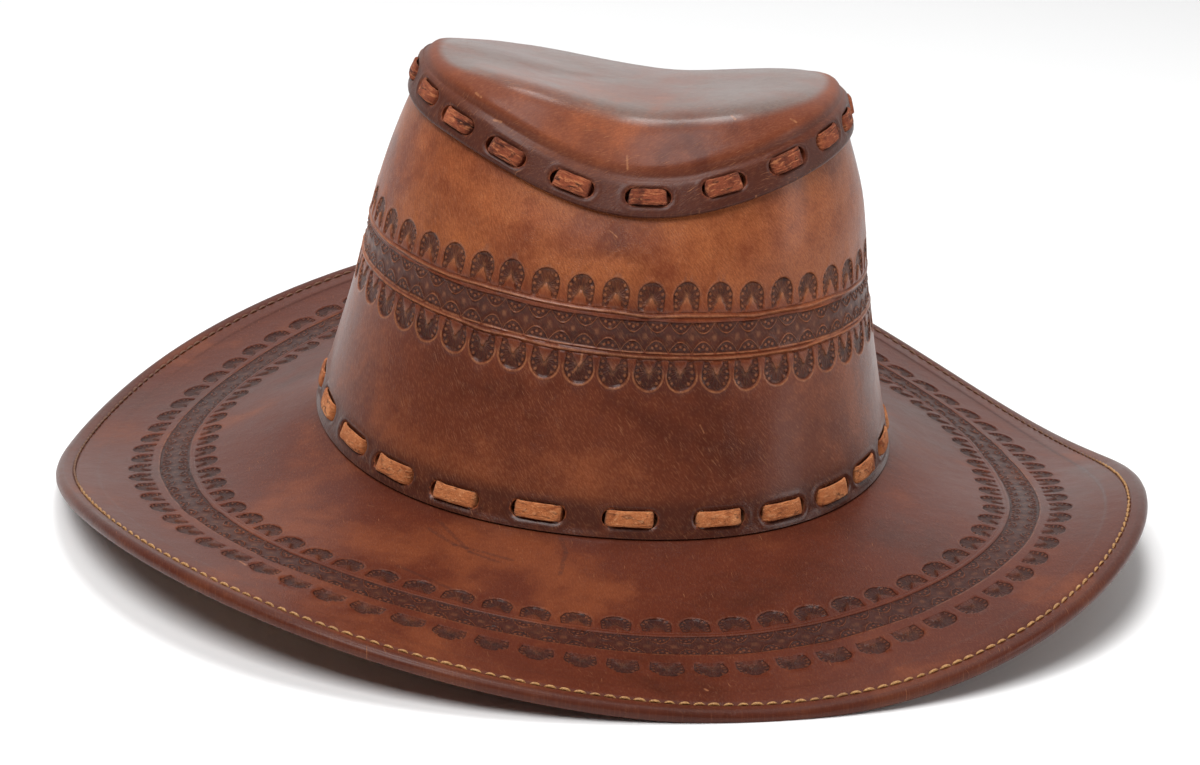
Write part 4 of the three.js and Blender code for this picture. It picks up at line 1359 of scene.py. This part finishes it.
cap = {
    "columns": 600, "bandRows": (1.0, 12.1, 0.73), "pressedRows": 18, "innerEvery": 2,
    "shares": (0.9985, 0.996, 0.9925, 0.988, 0.982, 0.974, 0.964, 0.952, 0.938, 0.92, 0.90, 0.87, 0.84,
               0.80, 0.76),
    "topShares": (0.72, 0.04, 14), "foldAt": 13.0, "foldWide": 1.7, "foldDeep": 1.0,
    "swellAt": 16.8, "swellWide": 2.5, "swellTall": 0.5, "flatAt": 92, "flatWide": 10, "flattened": 0.8,
    # the lace seats and the crease of the fold are darkened as painted shade
    "rimFade": (0.6, 2.2), "bandFade": (9.0, 13.0), "bandDarkening": 0.92, "seatShade": 0.35,
    "creaseWide": 2.0, "creaseShade": 0.65, "bloomFade": (0.895, 0.945),
    "lipRows": (0.35, 0.05, 0.0, 0.12, 0.45), "lipDepths": (1.75, 1.35, 0.85, 0.35, 0.05),
}


def capBandAt(turns, talls):
    points, lengths, marks, lean = wallProfile(turns)
    side = unit(np.roll(points[:-1, -2], -1, 0) - np.roll(points[:-1, -2], 1, 0))
    side = np.concatenate([side, side[:1]])
    out = unit(np.cross(side, lean))
    rim = points[:, -2]
    return rim[None] + lean[None] * talls[..., None] + out[None] * (leather + clearance), lean


def capShape(turns):
    size = capTopShape
    foot, lean = capBandAt(turns, bandTall * np.ones_like(turns)[None])
    full = np.maximum(np.cos(turns - math.radians(fullSide["at"])), 0) ** 2
    front = np.maximum(np.cos(turns), 0) ** 2
    back = np.maximum(-np.cos(turns), 0) ** 2
    peak = wave("rimRise", turns) + size["shoulderTall"] - front * size["frontDrop"]
    peak = peak + full * fullSide["shoulderTall"]
    roundness = size["roundness"] + full * fullSide["roundness"] + front * size["frontRoundness"]
    roundness = roundness + back * size["backRoundness"]
    return {"foot": foot[0], "lean": lean, "peak": peak, "roundness": roundness}


def roofAt(shape, share):
    foot, lean = shape["foot"], shape["lean"]
    level = np.array([1, 1, 0])
    middle = np.array([*rimLine["centre"], 0.0])
    roof = capTopShape["centre"] + (shape["peak"] - capTopShape["centre"]) * share ** 2
    climb = (roof - foot[:, 2]) * (1 - share ** shape["roundness"]) ** (1 / capTopShape["fullness"])
    shear = lean * level * (climb * share / lean[:, 2])[:, None]
    made = middle + (foot * level - middle) * share + shear
    made[:, 2] = foot[:, 2] + climb
    return made


def makeCap():
    size = cap
    turns = np.linspace(0, fullTurn, size["columns"] + 1)
    flat = np.ones_like(turns)
    talls = np.arange(*size["bandRows"])
    shape = capShape(turns)
    shares = np.concatenate([size["shares"], np.linspace(*size["topShares"])])
    roof = [roofAt(shape, share) for share in shares]
    outer = np.concatenate([capBandAt(turns, upright(talls, flat))[0], roof])
    normals = gridNormals(outer)
    run = distances(outer.transpose(1, 0, 2)).T + talls[0]
    # a fold over the band, with a soft swell above it that is flattened on the wearer's left
    flattened = size["flattened"] * bell(np.degrees(turns) - size["flatAt"], size["flatWide"])
    folded = size["swellTall"] * (1 - flattened) * bell(run - size["swellAt"], size["swellWide"])
    folded = folded - size["foldDeep"] * bell(run - size["foldAt"], size["foldWide"])
    outer = outer + normals * folded[..., None]
    normals = gridNormals(outer)
    pole = roofAt(shape, 0.0)
    away = distances(np.concatenate([pole[None], outer[::-1]]).transpose(1, 0, 2))[:, 1:].T[::-1]
    hide = np.stack([away * np.sin(turns), -away * np.cos(turns)], -1) / hideUnit
    seated, seatShadeMask = pressSeats(outer, normals, slice(0, size["pressedRows"]), rimStitches, True, capSlot)
    tall = upright(np.concatenate([talls, np.full(len(shares), bandTall + leather)]), flat)
    # the rim's cut edge is burnished and the laced band is darker; the lace seats are darkened as painted
    # shade
    burnish = size["bandDarkening"] * (1 - smooth(tall, *size["bandFade"])) + 1 - smooth(tall, *size["rimFade"])
    burnish = np.clip(burnish + seatShadeMask * size["seatShade"], 0, 1)
    # painted shade in the crease of the fold over the band
    burnish = np.clip(burnish + bell(run - size["foldAt"], size["creaseWide"]) * size["creaseShade"], 0, 1)
    # painted reflection: the flat top is painted with a grey sheen
    bloom = upright(np.concatenate([0 * talls, 1 - smooth(shares, *size["bloomFade"])]), flat)
    rows, slots = [], []

    def addRows(made, spread, slot, burnishedAndShaded, every=1, paintedLit=0.0):
        around = made.shape[:2]
        shade = {"burnish": np.broadcast_to(burnishedAndShaded, around), "cut": np.zeros(around),
                 "bloom": np.broadcast_to(paintedLit, around)}
        rows.extend(rowsOf(made, {"hide": spread}, shade, every))
        slots.extend([slot] * len(made))

    inner = outer - normals * leather
    # from the middle out, every other row of the inside and the first two
    every = size["innerEvery"]
    thinned = [row for row in range(len(outer) - 1, -1, -1) if row % every == 0 or row < every]
    addRows(inner[thinned], hide[thinned], 1, 0.0, every)
    rim = capBandAt(turns, upright(size["lipRows"], flat))[0]
    rim = rim - normals[0][None] * upright(size["lipDepths"])[..., None]
    addRows(rim, np.repeat(hide[:1], len(rim), 0), 0, 1.0)
    addRows(seated, hide, 0, burnish, 1, bloom)
    skin = grainLeather("mouldedCapLeather", capLook)
    poles = (pole[0] - np.array([0, 0, leather]), pole[0])
    piece = sewSkin("mouldedCap", rows, slots, [skin, fleshSide], poles)
    punch(piece, [holeTools("capPunch", rimStitches, True, capSlot, skin)])
    placeScratches(piece, capLook)
    finishMesh(piece)
    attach(piece, "root")
    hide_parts("crown_top")


makeCap()
print("cap ready")

# Suede laces

lacing = {"wide": 5.5, "thick": 1.35, "fuzz": 0.09, "edgeWander": 0.16, "stitchWander": 0.22, "corners": 16,
          "flatness": (0.45, 0.55), "runOn": (0.25, 0.5, 0.75), "crownRadius": 85.0}
laceOver = [(0.0, 0.62), (0.3, 0.64), (0.6, 0.58)]  # share of the reach, height over the leather
laceDive = [(-1.3, 0.42), (-0.55, 0.12), (0.0, -0.45), (0.3, -1.4), (0.4, -2.6), (0.5, -3.7), (0.9, -4.6),
            (1.85, -5.05)]  # past the reach, height over the leather
mapCentimetre = 10.0


def faceOut(mesh):
    check = bmesh.new()
    check.from_mesh(mesh)
    bmesh.ops.recalc_face_normals(check, faces=check.faces)
    check.to_mesh(mesh)
    check.free()


def laceRun(stitches, onCap, slot):
    # the lace's middle line, with its side and out directions
    half = [(share * slot["reach"], h) for share, h in laceOver]
    half += [(slot["reach"] + x, h) for x, h in laceDive]
    path = [(-x, h) for x, h in half[:0:-1]] + half
    centre, side, up, out = stitchFrames(stitches, onCap, [x for x, h in path])
    middle = centre + out * np.array([h for x, h in path])[None, :, None]
    sections, ups = [], []
    for k, following in enumerate(np.roll(np.arange(len(stitches)), -1)):
        sections += list(middle[k])
        ups += list(up[k])
        # behind the leather the lace runs on to the next stitch, curved as the crown is
        chord = middle[following][0] - middle[k][-1]
        for share in lacing["runOn"]:
            outward = unit(out[k][-1] * (1 - share) + out[following][0] * share)
            bowed = chord @ chord / 2 / lacing["crownRadius"] * share * (1 - share)
            sections.append(middle[k][-1] + chord * share + outward * bowed)
            ups.append(unit(up[k][-1] * (1 - share) + up[following][0] * share))
    return np.array(sections), np.array(ups)


def makeLace(name, stitches, onCap, slot, material, node, seed):
    random = np.random.default_rng(seed)
    sections, ups = laceRun(stitches, onCap, slot)
    onward = unit(np.roll(sections, -1, 0) - np.roll(sections, 1, 0))
    ups = unit(ups - onward * (ups * onward).sum(-1, keepdims=True))
    thickWay = np.cross(onward, ups)
    total, corners = len(sections), lacing["corners"]
    wander = random.normal(0, 1, len(stitches))
    wide = lacing["wide"] + lacing["stitchWander"] * np.repeat(wander, total // len(stitches))
    wide = wide + random.normal(0, lacing["edgeWander"], total)
    angles = (np.arange(corners) + 0.5) / corners * fullTurn
    flatness = zip((np.cos(angles), np.sin(angles)), lacing["flatness"])
    x, y = (np.sign(way) * np.abs(way) ** power for way, power in flatness)
    rough = random.normal(0, lacing["fuzz"], (total, corners))
    places = (sections[:, None] + ups[:, None] * (x * 0.5)[None, :, None] * wide[:, None, None]
              + thickWay[:, None] * (y[None] * lacing["thick"] / 2 + rough)[..., None])
    index = np.arange(total * corners).reshape(total, corners)
    nextRow, nextCorner = np.roll(index, -1, 0), np.roll(index, -1, 1)
    quads = np.stack([index, nextRow, np.roll(nextRow, -1, 1), nextCorner], -1).reshape(-1, 4)
    mesh = newMesh(name, places.reshape(-1, 3), quads.tolist())
    mesh.materials.append(material)
    # the strip map: centimetres along the lace and round it
    onwardRun = roundLengths(np.concatenate([sections, sections[:1]])) / mapCentimetre
    around = 2 * (lacing["wide"] + lacing["thick"]) / mapCentimetre
    aroundRun = np.arange(corners + 1) / corners * around
    rowAt, cornerAt = np.divmod(np.arange(total * corners), corners)
    u = np.stack([onwardRun[rowAt + further] for further in (0, 1, 1, 0)], -1)
    v = np.stack([aroundRun[cornerAt + further] for further in (0, 0, 1, 1)], -1)
    giveMap(mesh, "strip", np.stack([u, v], -1))
    faceOut(mesh)
    piece = addObject(name, mesh)
    soften = piece.modifiers.new("soften", "SUBSURF")
    soften.levels = soften.render_levels = 1
    bakeModifiers(piece)
    finishMesh(piece, softAngle)
    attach(piece, "root")
    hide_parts(node)


makeLace("baseLace", footStitches, False, baseSlot, suede("tanSuede", baseSuedeLook, "strip"),
         "base_lace", 21)
makeLace("crownLace", rimStitches, True, capSlot, suede("russetSuede", capSuedeLook, "strip"),
         "crown_lace", 22)
print("laces ready")

# Thread stitches round the edge

threadStitch = {
    "pitch": 4.4, "length": 3.5, "thick": 0.95, "sink": 0.12, "underDepth": 4.05, "rings": 7, "sides": 7,
    "endThick": 0.12, "bluntness": 3.2, "roundness": 0.6, "twist": 0.5, "arched": 0.4, "dip": 0.25,
    "wobble": (0.03, 0.05, 0.12), "uneven": (0.88, 1.1),
    "goldFrom": 22, "goldTo": 186, "goldFade": 14, "goldLeast": 0.12,
}


def stitchMesh():
    # one stitch: a short strand, thicker in the middle, that dips into the leather at both ends
    size = threadStitch
    rings, sides = size["rings"], size["sides"]
    places, faces = [], []
    for r in range(rings):
        share = r / (rings - 1) * 2 - 1
        fat = max(size["endThick"], 1 - abs(share) ** size["bluntness"]) ** size["roundness"] / 2
        rise = size["arched"] * (1 - share ** 2) - size["dip"]
        for s in range(sides):
            angle = s / sides * fullTurn + share * size["twist"]
            places.append((share / 2, fat * math.cos(angle), fat * math.sin(angle) + rise))
    for r in range(rings - 1):
        for s in range(sides):
            a, b = r * sides + s, r * sides + (s + 1) % sides
            faces.append((a, a + sides, b + sides, b))
    faces += [tuple(range(sides)), tuple(range(rings * sides - 1, (rings - 1) * sides - 1, -1))]
    mesh = bpy.data.meshes.new("oneStitch")
    mesh.from_pydata(places, [], faces)
    faceOut(mesh)
    mesh.polygons.foreach_set("use_smooth", np.ones(len(mesh.polygons), bool))
    return addObject("oneStitch", mesh)


def stitchingTree(strand, material):
    tree = bpy.data.node_groups.new("threadStitching", "GeometryNodeTree")
    socket = tree.interface.new_socket
    socket("Geometry", in_out="INPUT", socket_type="NodeSocketGeometry")
    for label in ("Stitch length", "Thread thickness"):
        socket(label, in_out="INPUT", socket_type="NodeSocketFloat")
    socket("Seed", in_out="INPUT", socket_type="NodeSocketInt")
    socket("Geometry", in_out="OUTPUT", socket_type="NodeSocketGeometry")
    new, link = tree.nodes.new, tree.links.new
    start, end = new("NodeGroupInput"), new("NodeGroupOutput")
    dots = new("GeometryNodeMeshToPoints")
    axes = new("FunctionNodeAxesToRotation")
    axes.primary_axis, axes.secondary_axis = "Z", "X"
    for name, label in (("outward", "Primary Axis"), ("onward", "Secondary Axis")):
        way = new("GeometryNodeInputNamedAttribute")
        way.data_type = "FLOAT_VECTOR"
        way.inputs["Name"].default_value = name
        link(way.outputs["Attribute"], axes.inputs[label])
    wobble = new("FunctionNodeRandomValue")
    wobble.data_type = "FLOAT_VECTOR"
    wobble.inputs["Min"].default_value = [-most for most in threadStitch["wobble"]]
    wobble.inputs["Max"].default_value = threadStitch["wobble"]
    link(start.outputs["Seed"], wobble.inputs["Seed"])
    leaned = new("FunctionNodeRotateRotation")
    leaned.rotation_space = "LOCAL"
    link(axes.outputs["Rotation"], leaned.inputs["Rotation"])
    link(wobble.outputs["Value"], leaned.inputs["Rotate By"])
    size = new("ShaderNodeCombineXYZ")
    for label, way in (("Stitch length", "X"), ("Thread thickness", "Y"), ("Thread thickness", "Z")):
        link(start.outputs[label], size.inputs[way])
    uneven = new("FunctionNodeRandomValue")
    uneven.data_type = "FLOAT"
    uneven.inputs[2].default_value, uneven.inputs[3].default_value = threadStitch["uneven"]
    link(start.outputs["Seed"], uneven.inputs["Seed"])
    scaled = new("ShaderNodeVectorMath")
    scaled.operation = "SCALE"
    link(size.outputs["Vector"], scaled.inputs[0])
    link(uneven.outputs[1], scaled.inputs["Scale"])
    held = new("GeometryNodeObjectInfo")
    held.inputs["Object"].default_value = strand
    copies = new("GeometryNodeInstanceOnPoints")
    link(start.outputs["Geometry"], dots.inputs["Mesh"])
    link(dots.outputs["Points"], copies.inputs["Points"])
    link(held.outputs["Geometry"], copies.inputs["Instance"])
    link(leaned.outputs["Rotation"], copies.inputs["Rotation"])
    link(scaled.outputs["Vector"], copies.inputs["Scale"])
    real = new("GeometryNodeRealizeInstances")
    link(copies.outputs["Instances"], real.inputs["Geometry"])
    dressed = new("GeometryNodeSetMaterial")
    dressed.inputs["Material"].default_value = material
    link(real.outputs["Geometry"], dressed.inputs["Geometry"])
    link(dressed.outputs["Geometry"], end.inputs["Geometry"])
    return tree


def makeStitching(name, depth, facing, tree, seed):
    size = threadStitch
    inset = (brimEdge - brim["stitchIn"])[None]
    line = layer(brimSurface, inset, depth)[0]
    normal = unit(placesAt(brimSurface[1], brimSurface[2], inset))[0] * facing
    run = roundLengths(line)
    count = round(run[-1] / size["pitch"])
    wanted = (np.arange(count) + 0.5) / count * run[-1]
    at = np.stack([np.interp(wanted, run, line[:, a]) for a in range(3)], -1)
    ahead = np.stack([np.interp(wanted + 0.5, run, line[:, a], period=run[-1]) for a in range(3)], -1)
    out = unit(np.stack([np.interp(wanted, run, normal[:, a]) for a in range(3)], -1))
    # the thread has kept its gold where the edge is least handled
    around = np.degrees(np.arctan2(at[:, 0], -at[:, 1])) % 360
    gold = smooth(around, size["goldFrom"], size["goldFrom"] + size["goldFade"])
    gold = gold * (1 - smooth(around, size["goldTo"], size["goldTo"] + size["goldFade"]))
    gold = size["goldLeast"] + (1 - size["goldLeast"]) * gold
    mesh = newMesh(name, footing(at), [])
    paint(mesh, "gold", gold)
    for key, values in (("onward", unit(ahead - at)), ("outward", out)):
        paint(mesh, key, values, "FLOAT_VECTOR", "vector")
    piece = addObject(name, mesh)
    nodes = piece.modifiers.new("stitching", "NODES")
    nodes.node_group = tree
    sockets = {item.name: item.identifier for item in tree.interface.items_tree if item.in_out == "INPUT"}
    nodes[sockets["Stitch length"]] = size["length"] * millimetre
    nodes[sockets["Thread thickness"]] = size["thick"] * millimetre
    nodes[sockets["Seed"]] = seed
    bakeModifiers(piece)
    finishMesh(piece, softAngle)
    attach(piece, "root")


strand = stitchMesh()
threadTree = stitchingTree(strand, waxedThread("goldThread", threadLook))
makeStitching("edgeStitches", threadStitch["sink"], 1, threadTree, 31)
makeStitching("underStitches", threadStitch["underDepth"], -1, threadTree, 32)
bpy.data.objects.remove(strand)
print("stitches ready")
